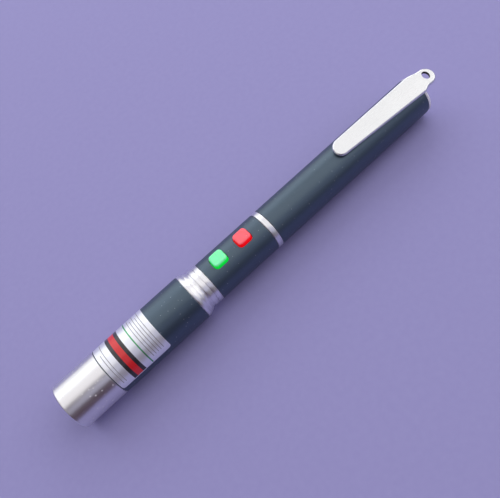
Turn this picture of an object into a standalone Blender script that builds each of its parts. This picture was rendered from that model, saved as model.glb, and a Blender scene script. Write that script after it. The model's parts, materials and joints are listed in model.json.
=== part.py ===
"""Two-colour laser pointer pen: a 16 mm head with a green and a red laser side by side, a push
button for each, and a screw-on tail tube that holds one 10 mm cell and carries the pocket clip.

The pen lies along X, nose towards -X, with its buttons facing +Z. Pieces are placed along an empty
on the pen's axis at the nose's front face, so an x below is a distance from that face, and a radius
is measured from the axis.
"""
from math import cos, pi, radians, sin, sqrt, tan

import bmesh
import bpy
from mathutils import Matrix, Vector

MM = 0.001

# Clearances between pieces
SEAM = 0.1 * MM                      # butt joint that shows on the outside
PRESS = 0.1 * MM                     # radial gap of a pushed or glued fit
SEAT = 0.3 * MM                      # gap between a hidden piece and what carries it
OVERRUN = 0.6 * MM                   # how far a cutter passes the face that it opens

# Outer tubes
HEAD_DIAMETER = 16.0 * MM
HEAD_BORE = 14.4 * MM
TUBE_DIAMETER = 13.5 * MM
SWITCH_BORE = 12.1 * MM
NOSE_LENGTH = 15.3 * MM
BARREL_LENGTH = 32.8 * MM
COLLAR_LENGTH = 7.0 * MM
SWITCH_LENGTH = 23.3 * MM
RING_WIDTH = 1.85 * MM
TAIL_LENGTH = 65.8 * MM
EDGE_CHAMFER = 0.15 * MM             # broken edge of a tube at a seam

# Nose cap and aperture plate
NOSE_BORE = 13.0 * MM
NOSE_EDGE = 0.5 * MM
LIP_BORE = 11.8 * MM
LIP_DEPTH = 0.9 * MM
NOSE_SPIGOT_LENGTH = 4.0 * MM
PLATE_THICKNESS = 1.0 * MM
APERTURE = 3.2 * MM

# Heat-sink block and the two laser modules in it
BLOCK_FRONT_LENGTH = 17.0 * MM
BLOCK_REAR_LENGTH = 5.4 * MM
GREEN_OFFSET = 2.9 * MM              # green module's axis above the pen's
RED_OFFSET = 3.4 * MM                # red module's axis below the pen's
GREEN_MODULE_DIAMETER = 6.0 * MM
RED_MODULE_DIAMETER = 5.0 * MM
GREEN_MODULE_LENGTH = 17.0 * MM
RED_MODULE_LENGTH = 9.0 * MM
GREEN_LENS_DIAMETER = 4.8 * MM
RED_LENS_DIAMETER = 3.9 * MM
LENS_THICKNESS = 1.6 * MM
LENS_CROWN = 0.45 * MM               # bulge of a collimating lens
LENS_RING_WIDTH = 0.8 * MM
LENS_RING_WALL = 0.6 * MM
CAVITY_DIAMETER = 3.0 * MM           # bore for the green crystal and expander lens
EXPANDER_DEPTH = 3.0 * MM            # from the green lens's back to the expander lens
EXPANDER_THICKNESS = 1.0 * MM
CRYSTAL_WIDTH = 1.9 * MM
CRYSTAL_LENGTH = 2.6 * MM
GREEN_DIODE_DIAMETER = 5.6 * MM
GREEN_WINDOW_DIAMETER = 2.6 * MM
GREEN_WINDOW_LENGTH = 2.2 * MM
RED_DIODE_DIAMETER = 3.8 * MM
RED_WINDOW_DIAMETER = 2.2 * MM
RED_WINDOW_LENGTH = 1.6 * MM
DIODE_FLANGE = 1.2 * MM
PIN_DIAMETER = 0.45 * MM
PIN_CIRCLE_SHARE = 0.45              # pin circle as a share of the diode's diameter

# Collar between the head and the switch tube
COLLAR_BORE = 10.4 * MM
COLLAR_FRONT_SPIGOT = 4.0 * MM
COLLAR_TOP_DIAMETER = 15.8 * MM
COLLAR_GROOVE = 0.3 * MM             # depth of its grooves below the switch tube's radius
# Turned outline of the collar: share of its length, and share of the way from the switch tube's
# radius up to the collar's top radius (-1 is the bottom of a groove).
COLLAR_STEP_SHARES = (
    (0.000, 1.00), (0.115, 1.00), (0.250, 0.43), (0.320, 0.38), (0.410, 0.02),
    (0.425, -1.0), (0.490, -1.0), (0.505, 0.08), (0.550, 0.00), (0.715, 0.00),
    (0.725, -1.0), (0.770, -1.0), (0.780, 0.03), (0.985, 0.03), (1.000, 0.00))

# Circuit board with the laser driver and the two push switches
BOARD_SETBACK = 1.9 * MM             # from the board's rear edge to the coupling ring
BOARD_WIDTH = 9.8 * MM
BOARD_THICKNESS = 1.0 * MM
CHIP_SIZE = (5.0 * MM, 4.0 * MM, 1.5 * MM)
CHIP_PLACE = 5.5 * MM                # from the board's front edge
COIL_DIAMETER = 5.0 * MM
COIL_HEIGHT = 2.8 * MM
COIL_PLACE = 12.2 * MM
TRIMMER_SIZE = (3.4 * MM, 3.6 * MM, 1.6 * MM)
TRIMMER_PLACE = 24.0 * MM
TRIMMER_SCREW = 2.2 * MM
TRIMMER_DIMPLE = 0.5 * MM
SWITCH_SIZE = (4.6 * MM, 4.6 * MM, 2.0 * MM)
SWITCH_WELL = 1.4 * MM               # depth of the hole its plunger moves in
PLUNGER_DIAMETER = 2.4 * MM
PLUNGER_LENGTH = 1.5 * MM
CRADLE_WALL = 1.3 * MM
CRADLE_SCREEN = 1.2 * MM             # thickness of its two end walls

# Push buttons
GREEN_BUTTON_PLACE = 6.15 * MM       # centre, from the collar's rear face
BUTTON_SPACING = 9.7 * MM
BUTTON_LENGTH = 5.15 * MM
BUTTON_WIDTH = 4.65 * MM
BUTTON_CORNER = 1.1 * MM
BUTTON_GAP = 0.15 * MM               # between a button and its window
BUTTON_PROUD = 1.25 * MM             # of the tube's outside
BUTTON_CROWN = 0.65 * MM             # height over which the top rounds over
BUTTON_DRAW = 0.75 * MM              # how far the top draws in over that height
FLANGE_STEP = 0.5 * MM
FLANGE_THICKNESS = 0.6 * MM
BUTTON_TRAVEL = 0.4 * MM
STEM_DIAMETER = 2.6 * MM

# Coupling ring that the tail screws on to
RING_PROUD = 0.05 * MM
RING_BORE = 10.4 * MM
THREAD_DIAMETER = 11.5 * MM
THREAD_BORE = 9.8 * MM
THREAD_LENGTH = 6.0 * MM
INSULATOR_THICKNESS = 2.4 * MM
CONTACT_HEAD_DIAMETER = 4.8 * MM
CONTACT_HEAD_THICKNESS = 0.7 * MM
CONTACT_STEM_DIAMETER = 1.8 * MM

# Cell and spring
CELL_DIAMETER = 10.1 * MM
CELL_NUB_DIAMETER = 3.8 * MM
CELL_NUB_LENGTH = 0.8 * MM
CELL_EDGE = 0.6 * MM
SPRING_SPACE = 11.1 * MM             # from the cell to the cap's plug
SPRING_WIRE = 0.7 * MM
SPRING_DIAMETER = 6.8 * MM           # to the middle of the wire
SPRING_TURNS = 6.25
SPRING_POINTS_PER_TURN = 10

# Tail tube and end cap
TAIL_BORE = 11.0 * MM
TAIL_MOUTH_BORE = 12.1 * MM
TAIL_EDGE = 0.35 * MM
CAP_FLANGE_DIAMETER = 12.8 * MM
CAP_FLANGE_THICKNESS = 1.1 * MM
CAP_EDGE = 0.45 * MM
CAP_PLUG_LENGTH = 4.0 * MM
CAP_NOSE_DIAMETER = 5.2 * MM
CAP_NOSE_LENGTH = 1.6 * MM

# Pocket clip
CLIP_LENGTH = 42.0 * MM              # from its tip to the end of its eyelet
CLIP_TOP = 8.4 * MM                  # radius of its top face
CLIP_THICKNESS = 1.1 * MM
CLIP_TIP_WIDTH = 6.0 * MM
CLIP_SHOULDER_WIDTH = 7.75 * MM
CLIP_OVERHANG = 6.45 * MM            # of the eyelet's end past the tail tube
EYELET_DIAMETER = 5.4 * MM
EYELET_HOLE = 2.85 * MM
SHOULDER_LENGTH = 1.7 * MM           # over which the arm draws in to the eyelet
NECK_LENGTH = 2.0 * MM               # straight part between the shoulder and the eyelet's round
CLIP_EDGE = 0.35 * MM
CLIP_CROWN = 0.1 * MM
TOE_LENGTH = 2.6 * MM                # over which the tip dips towards the tube
TOE_TOP_DROP = 0.6 * MM
TOE_FOOT_DROP = 0.25 * MM
LEG_WIDTH = 3.0 * MM
LEG_THICKNESS = 0.7 * MM
LEG_REACH = 2.1 * MM                 # below the arm
SLOT_RELIEF = 0.2 * MM               # how far the leg's slot runs into the plug
CLIP_SKEW = radians(1.6)             # how far the clip sits askew on its cap

# Roundness
BARREL_SIDES = 32
SMALL_SIDES = 16
PIN_SIDES = 6
ARC_STEPS = 3
TAIL_STEPS = 1                       # facets that the tail is screwed past the buttons
SMOOTH_ANGLE = radians(35)
MERGE = 0.00001 * MM

# Places along the pen
BARREL_START = NOSE_LENGTH
COLLAR_START = BARREL_START + BARREL_LENGTH
SWITCH_START = COLLAR_START + COLLAR_LENGTH
RING_START = SWITCH_START + SWITCH_LENGTH
TAIL_START = RING_START + RING_WIDTH
TAIL_END = TAIL_START + TAIL_LENGTH
PLATE_START = LIP_DEPTH + SEAT
BLOCK_START = PLATE_START + PLATE_THICKNESS + SEAT
BLOCK_STEP = BLOCK_START + BLOCK_FRONT_LENGTH
BLOCK_END = BLOCK_STEP + BLOCK_REAR_LENGTH
BOARD_START = BLOCK_END + SEAT
BOARD_END = RING_START - BOARD_SETBACK
GREEN_BUTTON_X = SWITCH_START + GREEN_BUTTON_PLACE
RED_BUTTON_X = GREEN_BUTTON_X + BUTTON_SPACING
BUTTON_REACH = BUTTON_LENGTH / 2 + FLANGE_STEP
COLLAR_END = GREEN_BUTTON_X - BUTTON_REACH - SEAT
RING_FRONT = RED_BUTTON_X + BUTTON_REACH + SEAT
THREAD_END = TAIL_START + THREAD_LENGTH
CONTACT_END = THREAD_END
CONTACT_HEAD_START = CONTACT_END - CONTACT_HEAD_THICKNESS
CELL_START = CONTACT_END + SEAT
CAP_FLANGE_START = TAIL_END + SEAM
CAP_END = CAP_FLANGE_START + CAP_FLANGE_THICKNESS
CAP_PLUG_START = CAP_FLANGE_START - CAP_PLUG_LENGTH
CELL_END = CAP_PLUG_START - SPRING_SPACE
CLIP_TIP_X = TAIL_END + CLIP_OVERHANG - CLIP_LENGTH
EYELET_X = TAIL_END + CLIP_OVERHANG - EYELET_DIAMETER / 2
CLIP_ROOT_X = CAP_END - LEG_THICKNESS / 2
CLIP_ROOT_RADIUS = CLIP_TOP - CLIP_THICKNESS - LEG_THICKNESS

# Heights of the board and the buttons over the pen's axis
BOARD_TOP = BOARD_THICKNESS / 2
SWITCH_TOP = BOARD_TOP + SEAT + SWITCH_SIZE[2]
WELL_FLOOR = SWITCH_TOP - SWITCH_WELL
PLUNGER_FOOT = WELL_FLOOR + BUTTON_TRAVEL + SEAT
PLUNGER_TOP = PLUNGER_FOOT + PLUNGER_LENGTH
STEM_FOOT = PLUNGER_TOP + PRESS
FLANGE_TOP = sqrt((SWITCH_BORE / 2) ** 2 - (BUTTON_WIDTH / 2 + FLANGE_STEP) ** 2) - SEAT
FLANGE_FOOT = FLANGE_TOP - FLANGE_THICKNESS
BUTTON_TOP = TUBE_DIAMETER / 2 + BUTTON_PROUD

# The whole pen's own place
EYELET_REACH = (EYELET_X - CLIP_ROOT_X) * cos(CLIP_SKEW) + EYELET_DIAMETER / 2
OVERALL_LENGTH = CLIP_ROOT_X + EYELET_REACH
AXIS_HEIGHT = HEAD_DIAMETER / 2 * cos(pi / BARREL_SIDES)


def clear_scene():
    """Remove whatever the scene holds."""
    for item in list(bpy.data.objects):
        bpy.data.objects.remove(item, do_unlink=True)


def finish(name, colour, roughness, metallic, alpha=1.0):
    """A plain Principled material for one piece."""
    made = bpy.data.materials.new(name)
    made.use_nodes = True
    shader = made.node_tree.nodes["Principled BSDF"]
    shader.inputs["Base Color"].default_value = (*colour, 1.0)
    shader.inputs["Roughness"].default_value = roughness
    shader.inputs["Metallic"].default_value = metallic
    shader.inputs["Alpha"].default_value = alpha
    made.diffuse_color = (*colour, alpha)
    return made


def satin_silver(name):
    return finish(name, (0.78, 0.78, 0.80), 0.28, 1.0)


def bright_chrome(name):
    return finish(name, (0.85, 0.85, 0.87), 0.12, 1.0)


def matte_black(name):
    return finish(name, (0.035, 0.042, 0.052), 0.55, 0.2)


def turned_brass(name):
    return finish(name, (0.78, 0.60, 0.28), 0.3, 1.0)


def clear_glass(name):
    return finish(name, (0.80, 0.90, 0.95), 0.05, 0.0, alpha=0.4)


def black_plastic(name):
    return finish(name, (0.03, 0.03, 0.03), 0.45, 0.0)


def empty(name, parent, x=0.0, z=0.0):
    """A plain axis empty that pieces hang on."""
    made = bpy.data.objects.new(name, None)
    bpy.context.collection.objects.link(made)
    made.parent = parent
    made.location = (x, 0, z)
    return made


def add_piece(name, shape, material, parent, place=(0, 0, 0)):
    """Turn a bmesh into a named object with its own material."""
    mesh = bpy.data.meshes.new(name)
    shape.to_mesh(mesh)
    shape.free()
    mesh.shade_smooth()
    mesh.set_sharp_from_angle(angle=SMOOTH_ANGLE)
    made = bpy.data.objects.new(name, mesh)
    bpy.context.collection.objects.link(made)
    if material:
        mesh.materials.append(material)
    made.parent = parent
    made.location = place
    return made


def as_cutter(piece):
    """Keep a piece as a modifier's tool only."""
    piece.hide_render = True
    piece.display_type = "WIRE"
    return piece


def combine(piece, tool, operation):
    """Join the tool to the piece, or cut it out, with an exact Boolean."""
    modifier = piece.modifiers.new(tool.name, "BOOLEAN")
    modifier.operation = operation
    modifier.solver = "EXACT"
    modifier.object = as_cutter(tool)


def rounded(points, steps=ARC_STEPS):
    """Outline points (x, y, fillet) with each fillet drawn as an arc."""
    outline = []
    for index, (x, y, fillet) in enumerate(points):
        corner = Vector((x, y))
        if not fillet:
            outline.append(corner)
            continue
        before = (Vector(points[index - 1][:2]) - corner).normalized()
        after = (Vector(points[(index + 1) % len(points)][:2]) - corner).normalized()
        half = before.angle(after) / 2
        centre = corner + (before + after).normalized() * (fillet / sin(half))
        start = (corner + before * (fillet / tan(half)) - centre).normalized()
        end = (corner + after * (fillet / tan(half)) - centre).normalized()
        for step in range(steps + 1):
            outline.append(centre + start.slerp(end, step / steps) * fillet)
    return outline


def turned(name, points, material, parent, sides=BARREL_SIDES, steps=ARC_STEPS):
    """Spin an outline of (x, radius, fillet) points about the parent's X axis.

    An outline that ends on the axis makes a solid piece, and one that stays off it a ring.
    """
    outline = rounded(points, steps)
    shape = bmesh.new()
    rim = [shape.verts.new((x, 0, radius)) for x, radius in outline]
    if outline[0].y and outline[-1].y:
        rim.append(rim[0])
    for first, second in zip(rim, rim[1:]):
        shape.edges.new((first, second))
    half_step = Matrix.Rotation(pi / sides, 3, "X")
    bmesh.ops.rotate(shape, verts=shape.verts, cent=(0, 0, 0), matrix=half_step)
    bmesh.ops.spin(shape, geom=shape.verts[:] + shape.edges[:], cent=(0, 0, 0), axis=(1, 0, 0),
                   angle=2 * pi, steps=sides, use_merge=True)
    bmesh.ops.remove_doubles(shape, verts=shape.verts, dist=MERGE)
    bmesh.ops.recalc_face_normals(shape, faces=shape.faces)
    return add_piece(name, shape, material, parent)


def rod(name, start, end, diameter, material, parent, sides=SMALL_SIDES):
    """A plain solid cylinder along X."""
    radius = diameter / 2
    return turned(name, [(start, 0, 0), (start, radius, 0), (end, radius, 0), (end, 0, 0)],
                  material, parent, sides)


def block(name, size, centre, material, parent):
    """A box of a given size about a point."""
    shape = bmesh.new()
    bmesh.ops.create_cube(shape, size=1.0, matrix=Matrix.Diagonal((*size, 1.0)))
    return add_piece(name, shape, material, parent, centre)


def soft_rectangle(length, width, corner, height):
    """A rectangle with round corners, at a height, as a loop of points."""
    half_length, half_width = length / 2, width / 2
    corners = [(half_length, half_width, corner), (-half_length, half_width, corner),
               (-half_length, -half_width, corner), (half_length, -half_width, corner)]
    return [(point.x, point.y, height) for point in rounded(corners)]


def stacked(name, rings, material, parent, place):
    """Skin a stack of loops with the same number of points, and close both ends."""
    shape = bmesh.new()
    loops = [[shape.verts.new(point) for point in ring] for ring in rings]
    for lower, upper in zip(loops, loops[1:]):
        for index in range(len(lower)):
            after = (index + 1) % len(lower)
            shape.faces.new((lower[index], lower[after], upper[after], upper[index]))
    shape.faces.new(loops[0])
    shape.faces.new(loops[-1])
    bmesh.ops.remove_doubles(shape, verts=shape.verts, dist=MERGE)
    bmesh.ops.recalc_face_normals(shape, faces=shape.faces)
    return add_piece(name, shape, material, parent, place)


def nose_cap(pen):
    """Silver nose with a lip in front and a spigot that enters the barrel behind."""
    outer, spigot = HEAD_DIAMETER / 2, HEAD_BORE / 2 - PRESS
    bore, lip = NOSE_BORE / 2, LIP_BORE / 2
    end = NOSE_LENGTH - SEAM
    spigot_end = NOSE_LENGTH + NOSE_SPIGOT_LENGTH
    turned("nose_cap", [
        (0, lip, 0), (0, outer, NOSE_EDGE), (end, outer, 0), (end, spigot, 0),
        (spigot_end, spigot, 0), (spigot_end, bore, 0), (LIP_DEPTH, bore, 0), (LIP_DEPTH, lip, 0),
    ], satin_silver("nose silver"), pen)


def aperture_plate(pen, green_axis, red_axis):
    """Black disc behind the lip, with a hole for each beam."""
    end = PLATE_START + PLATE_THICKNESS
    plate = rod("aperture_plate", PLATE_START, end, NOSE_BORE - 2 * PRESS,
                matte_black("plate black"), pen, BARREL_SIDES)
    for colour, axis in (("green", green_axis), ("red", red_axis)):
        hole = rod(colour + " aperture cutter", PLATE_START - OVERRUN, end + OVERRUN, APERTURE,
                   None, axis)
        combine(plate, hole, "DIFFERENCE")


def module_block(pen, green_axis, red_axis):
    """Stepped aluminium cylinder, glued in the barrel, that the two modules are pushed into."""
    front, rear = NOSE_BORE / 2 - PRESS, HEAD_BORE / 2 - PRESS
    step = max(BLOCK_STEP, NOSE_LENGTH + NOSE_SPIGOT_LENGTH + SEAT)
    made = turned("module_block", [
        (BLOCK_START, 0, 0), (BLOCK_START, front, 0), (step, front, 0), (step, rear, 0),
        (BLOCK_END, rear, 0), (BLOCK_END, 0, 0),
    ], finish("block aluminium", (0.70, 0.71, 0.73), 0.4, 1.0), pen)
    for colour, axis, diameter in (("green", green_axis, GREEN_MODULE_DIAMETER),
                                   ("red", red_axis, RED_MODULE_DIAMETER)):
        bore = rod(colour + " bore cutter", BLOCK_START - OVERRUN, BLOCK_END + OVERRUN,
                   diameter + 2 * PRESS, None, axis)
        combine(made, bore, "DIFFERENCE")


def lens(name, start, diameter, axis):
    """Collimating lens, flat in front and bulging behind."""
    radius = diameter / 2
    rim = start + LENS_THICKNESS - LENS_CROWN
    bulge = [(rim + LENS_CROWN * sin(angle), radius * cos(angle), 0)
             for angle in (pi / 2 * step / ARC_STEPS for step in range(ARC_STEPS + 1))]
    bulge[-1] = (rim + LENS_CROWN, 0, 0)
    turned(name, [(start, 0, 0), (start, radius, 0), *bulge], clear_glass(name + " glass"),
           axis, SMALL_SIDES)


def lens_ring(name, start, diameter, axis):
    """Threaded ring that holds a lens in its module."""
    outer, inner = diameter / 2, diameter / 2 - LENS_RING_WALL
    end = start + LENS_RING_WIDTH
    turned(name, [(start, inner, 0), (start, outer, 0), (end, outer, 0), (end, inner, 0)],
           turned_brass(name + " brass"), axis, SMALL_SIDES)


def diode(name, start, diameter, window_diameter, window_length, axis, pins_to):
    """Laser diode: round flange, window can in front and three pins behind."""
    flange, window = diameter / 2, window_diameter / 2
    end = start + DIODE_FLANGE
    front = start - window_length
    made = turned(name, [
        (front, 0, 0), (front, window, 0), (start, window, 0), (start, flange, 0),
        (end, flange, 0), (end, 0, 0),
    ], finish(name + " gold", (0.85, 0.68, 0.35), 0.25, 1.0), axis, SMALL_SIDES)
    circle = diameter * PIN_CIRCLE_SHARE / 2
    for number in range(3):
        angle = pi / 2 + 2 * pi * number / 3
        pin = rod(f"{name} pin {number}", end - DIODE_FLANGE / 2, pins_to, PIN_DIAMETER, None,
                  axis, PIN_SIDES)
        pin.location = (0, circle * cos(angle), circle * sin(angle))
        combine(made, pin, "UNION")


def module_layout():
    """Places along a module: its front, the lens's front, the lens's back and its first step."""
    front = BLOCK_START
    lens_front = front + LENS_RING_WIDTH + SEAT
    lens_back = lens_front + LENS_THICKNESS
    return front, lens_front, lens_back, lens_back + SEAT


def green_module(axis):
    """Brass tube with its lens in front, then expander lens, crystal and pump diode."""
    front, lens_front, lens_back, step = module_layout()
    end = front + GREEN_MODULE_LENGTH
    outer, bore = GREEN_MODULE_DIAMETER / 2, GREEN_LENS_DIAMETER / 2 + PRESS
    cavity = CAVITY_DIAMETER / 2
    turned("green_module", [
        (front, bore, 0), (front, outer, 0), (end, outer, 0), (end, cavity, 0),
        (step, cavity, 0), (step, bore, 0),
    ], turned_brass("green module brass"), axis, SMALL_SIDES)
    lens_ring("green_lens_ring", front + PRESS, GREEN_LENS_DIAMETER, axis)
    lens("green_lens", lens_front, GREEN_LENS_DIAMETER, axis)
    expander = lens_back + EXPANDER_DEPTH
    rod("expander_lens", expander, expander + EXPANDER_THICKNESS, CAVITY_DIAMETER - 2 * PRESS,
        clear_glass("expander glass"), axis)
    diode_front = end + SEAT - GREEN_WINDOW_LENGTH
    block("green_crystal", (CRYSTAL_LENGTH, CRYSTAL_WIDTH, CRYSTAL_WIDTH),
          (diode_front - SEAT - CRYSTAL_LENGTH / 2, 0, 0),
          finish("crystal violet", (0.55, 0.45, 0.75), 0.1, 0.0), axis)
    diode("pump_diode", end + SEAT, GREEN_DIODE_DIAMETER, GREEN_WINDOW_DIAMETER,
          GREEN_WINDOW_LENGTH, axis, BLOCK_END)


def red_module(axis):
    """Short brass tube with one lens in front of a red diode."""
    front, lens_front, lens_back, step = module_layout()
    end = front + RED_MODULE_LENGTH
    outer, bore = RED_MODULE_DIAMETER / 2, RED_LENS_DIAMETER / 2 + PRESS
    window = RED_WINDOW_DIAMETER / 2 + SEAT
    seat = end - DIODE_FLANGE - SEAT
    turned("red_module", [
        (front, bore, 0), (front, outer, 0), (end, outer, 0), (end, bore, 0),
        (seat, bore, 0), (seat, window, 0), (step, window, 0), (step, bore, 0),
    ], turned_brass("red module brass"), axis, SMALL_SIDES)
    lens_ring("red_lens_ring", front + PRESS, RED_LENS_DIAMETER, axis)
    lens("red_lens", lens_front, RED_LENS_DIAMETER, axis)
    diode("red_diode", seat + SEAT, RED_DIODE_DIAMETER, RED_WINDOW_DIAMETER, RED_WINDOW_LENGTH,
          axis, BLOCK_END)


def head_barrel(pen):
    """Matte black tube around the block and the front of the board."""
    outer, bore = HEAD_DIAMETER / 2, HEAD_BORE / 2
    end = COLLAR_START - SEAM
    turned("head_barrel", [
        (BARREL_START, bore, 0), (BARREL_START, outer, EDGE_CHAMFER), (end, outer, EDGE_CHAMFER),
        (end, bore, 0),
    ], matte_black("barrel black"), pen, steps=1)


def collar(pen):
    """Turned chrome collar that steps from the head down to the switch tube."""
    tube, bore = TUBE_DIAMETER / 2, COLLAR_BORE / 2
    front_spigot, rear_spigot = HEAD_BORE / 2 - PRESS, SWITCH_BORE / 2 - PRESS
    front = COLLAR_START - COLLAR_FRONT_SPIGOT
    end = SWITCH_START - SEAM
    steps = []
    for along_share, height_share in COLLAR_STEP_SHARES:
        rise = COLLAR_GROOVE if height_share < 0 else COLLAR_TOP_DIAMETER / 2 - tube
        place = COLLAR_START + along_share * (end - COLLAR_START)
        steps.append((place, tube + height_share * rise, 0))
    turned("collar", [
        (front, bore, 0), (front, front_spigot, 0), (COLLAR_START, front_spigot, 0), *steps,
        (end, rear_spigot, 0), (COLLAR_END, rear_spigot, 0), (COLLAR_END, bore, 0),
    ], bright_chrome("collar chrome"), pen)


def switch_tube(pen):
    """Matte black tube with a round-cornered window for each button."""
    outer, bore = TUBE_DIAMETER / 2, SWITCH_BORE / 2
    end = RING_START - SEAM
    tube = turned("switch_tube", [
        (SWITCH_START, bore, 0), (SWITCH_START, outer, EDGE_CHAMFER), (end, outer, EDGE_CHAMFER),
        (end, bore, 0),
    ], matte_black("switch tube black"), pen, steps=1)
    for colour, place in (("green", GREEN_BUTTON_X), ("red", RED_BUTTON_X)):
        size = (BUTTON_LENGTH + 2 * BUTTON_GAP, BUTTON_WIDTH + 2 * BUTTON_GAP,
                BUTTON_CORNER + BUTTON_GAP)
        window = stacked(colour + " window cutter", [
            soft_rectangle(*size, 0), soft_rectangle(*size, outer + OVERRUN),
        ], None, pen, (place, 0, 0))
        combine(tube, window, "DIFFERENCE")


def button(name, place, colour, pen):
    """Crowned round-cornered cap with a flange under the tube wall and a stem to its switch."""
    size = (BUTTON_LENGTH, BUTTON_WIDTH, BUTTON_CORNER)
    flange = tuple(value + 2 * FLANGE_STEP for value in size[:2]) + (BUTTON_CORNER + FLANGE_STEP,)
    rings = [soft_rectangle(*flange, FLANGE_FOOT), soft_rectangle(*flange, FLANGE_TOP),
             soft_rectangle(*size, FLANGE_TOP)]
    for step in range(ARC_STEPS + 1):
        angle = pi / 2 * step / ARC_STEPS
        draw = BUTTON_DRAW * (1 - cos(angle))
        height = BUTTON_TOP - BUTTON_CROWN * (1 - sin(angle))
        rings.append(soft_rectangle(BUTTON_LENGTH - 2 * draw, BUTTON_WIDTH - 2 * draw,
                                    BUTTON_CORNER - draw / 2, height))
    cap = stacked(name, rings, finish(name + " plastic", colour, 0.3, 0.0), pen, (place, 0, 0))
    stem = upright(name + " stem", STEM_FOOT, FLANGE_FOOT + FLANGE_THICKNESS / 2, STEM_DIAMETER,
                   None, pen, place)
    combine(cap, stem, "UNION")


def upright(name, foot, top, diameter, material, parent, place, across=0.0):
    """A plain solid cylinder that stands along Z."""
    shape = bmesh.new()
    bmesh.ops.create_cone(shape, cap_ends=True, segments=SMALL_SIDES, radius1=diameter / 2,
                          radius2=diameter / 2, depth=top - foot,
                          matrix=Matrix.Translation((0, 0, (foot + top) / 2)))
    return add_piece(name, shape, material, parent, (place, across, 0))


def push_switch(colour, place, pen):
    """Square push switch on the board, and the plunger that moves in its well."""
    length, width, height = SWITCH_SIZE
    body = block(colour + "_switch", SWITCH_SIZE, (place, 0, SWITCH_TOP - height / 2),
                 black_plastic(colour + " switch plastic"), pen)
    well = upright(colour + " well cutter", WELL_FLOOR, SWITCH_TOP + OVERRUN,
                   PLUNGER_DIAMETER + 2 * SEAT, None, pen, place)
    combine(body, well, "DIFFERENCE")
    upright(colour + "_plunger", PLUNGER_FOOT, PLUNGER_TOP, PLUNGER_DIAMETER,
            finish(colour + " plunger plastic", (0.85, 0.85, 0.82), 0.4, 0.0), pen, place)


def circuit_board(pen):
    """Narrow board that runs from the diodes to the front contact, with the driver on it."""
    middle = (BOARD_START + BOARD_END) / 2
    block("circuit_board", (BOARD_END - BOARD_START, BOARD_WIDTH, BOARD_THICKNESS), (middle, 0, 0),
          finish("board green", (0.02, 0.20, 0.09), 0.4, 0.0), pen)
    floor = BOARD_TOP + SEAT
    block("driver_chip", CHIP_SIZE, (BOARD_START + CHIP_PLACE, 0, floor + CHIP_SIZE[2] / 2),
          black_plastic("chip plastic"), pen)
    upright("driver_coil", floor, floor + COIL_HEIGHT, COIL_DIAMETER,
            finish("coil ferrite", (0.10, 0.10, 0.11), 0.6, 0.0), pen, BOARD_START + COIL_PLACE)
    place = BOARD_START + TRIMMER_PLACE
    top = floor + TRIMMER_SIZE[2]
    trimmer = block("trim_resistor", TRIMMER_SIZE, (place, 0, top - TRIMMER_SIZE[2] / 2),
                    finish("trimmer blue", (0.05, 0.15, 0.55), 0.4, 0.0), pen)
    dimple = upright("trimmer cutter", top - TRIMMER_DIMPLE, top + OVERRUN, TRIMMER_SCREW, None,
                     pen, place)
    combine(trimmer, dimple, "DIFFERENCE")


def board_cradle(pen):
    """Moulded trough in the switch tube that the board lies on."""
    start, end = COLLAR_END + SEAT, RING_FRONT - SEAT
    cradle = rod("board_cradle", start, end, SWITCH_BORE - 2 * PRESS,
                 black_plastic("cradle plastic"), pen, BARREL_SIDES)
    middle, length = (start + end) / 2, end - start
    rim = -BOARD_TOP - SEAT
    above = block("cradle top cutter", (length + 2 * OVERRUN, SWITCH_BORE, SWITCH_BORE),
                  (middle, 0, rim + SWITCH_BORE / 2), None, pen)
    combine(cradle, above, "DIFFERENCE")
    hollow = rod("cradle hollow cutter", start + CRADLE_SCREEN, end - CRADLE_SCREEN,
                 SWITCH_BORE - 2 * CRADLE_WALL, None, pen, BARREL_SIDES)
    combine(cradle, hollow, "DIFFERENCE")


def coupling_ring(pen):
    """Chrome ring, pushed into the switch tube, with the thread that the tail screws on to."""
    outer, front_bore, rear_bore = TUBE_DIAMETER / 2 + RING_PROUD, RING_BORE / 2, THREAD_BORE / 2
    spigot, thread = SWITCH_BORE / 2 - PRESS, THREAD_DIAMETER / 2
    turned("coupling_ring", [
        (RING_FRONT, front_bore, 0), (RING_FRONT, spigot, 0), (RING_START, spigot, 0),
        (RING_START, outer, EDGE_CHAMFER), (TAIL_START, outer, EDGE_CHAMFER),
        (TAIL_START, thread, 0), (THREAD_END, thread, EDGE_CHAMFER), (THREAD_END, rear_bore, 0),
        (RING_START, rear_bore, 0), (RING_START, front_bore, 0),
    ], bright_chrome("ring chrome"), pen, steps=1)


def front_contact(pen):
    """Brass pin with a flat head for the cell, in its insulating disc."""
    head, stem = CONTACT_HEAD_DIAMETER / 2, CONTACT_STEM_DIAMETER / 2
    start = BOARD_END + SEAT
    turned("front_contact", [
        (start, 0, 0), (start, stem, 0), (CONTACT_HEAD_START, stem, 0),
        (CONTACT_HEAD_START, head, 0), (CONTACT_END, head, EDGE_CHAMFER), (CONTACT_END, 0, 0),
    ], turned_brass("contact brass"), pen, SMALL_SIDES, steps=1)
    back = CONTACT_HEAD_START - PRESS
    front = back - INSULATOR_THICKNESS
    disc, hole = THREAD_BORE / 2 - PRESS, stem + PRESS
    turned("contact_insulator", [
        (front, hole, 0), (front, disc, 0), (back, disc, 0), (back, hole, 0),
    ], finish("insulator white", (0.85, 0.85, 0.82), 0.5, 0.0), pen)


def battery_cell(pen):
    """One 10 mm cell, nub towards the nose, as long as the tube and its spring leave room for."""
    can, nub = CELL_DIAMETER / 2, CELL_NUB_DIAMETER / 2
    shoulder = CELL_START + CELL_NUB_LENGTH
    turned("battery_cell", [
        (CELL_START, 0, 0), (CELL_START, nub, 0), (shoulder, nub, 0), (shoulder, can, CELL_EDGE),
        (CELL_END, can, CELL_EDGE), (CELL_END, 0, 0),
    ], finish("cell wrap", (0.25, 0.30, 0.38), 0.35, 0.1), pen)


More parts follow.
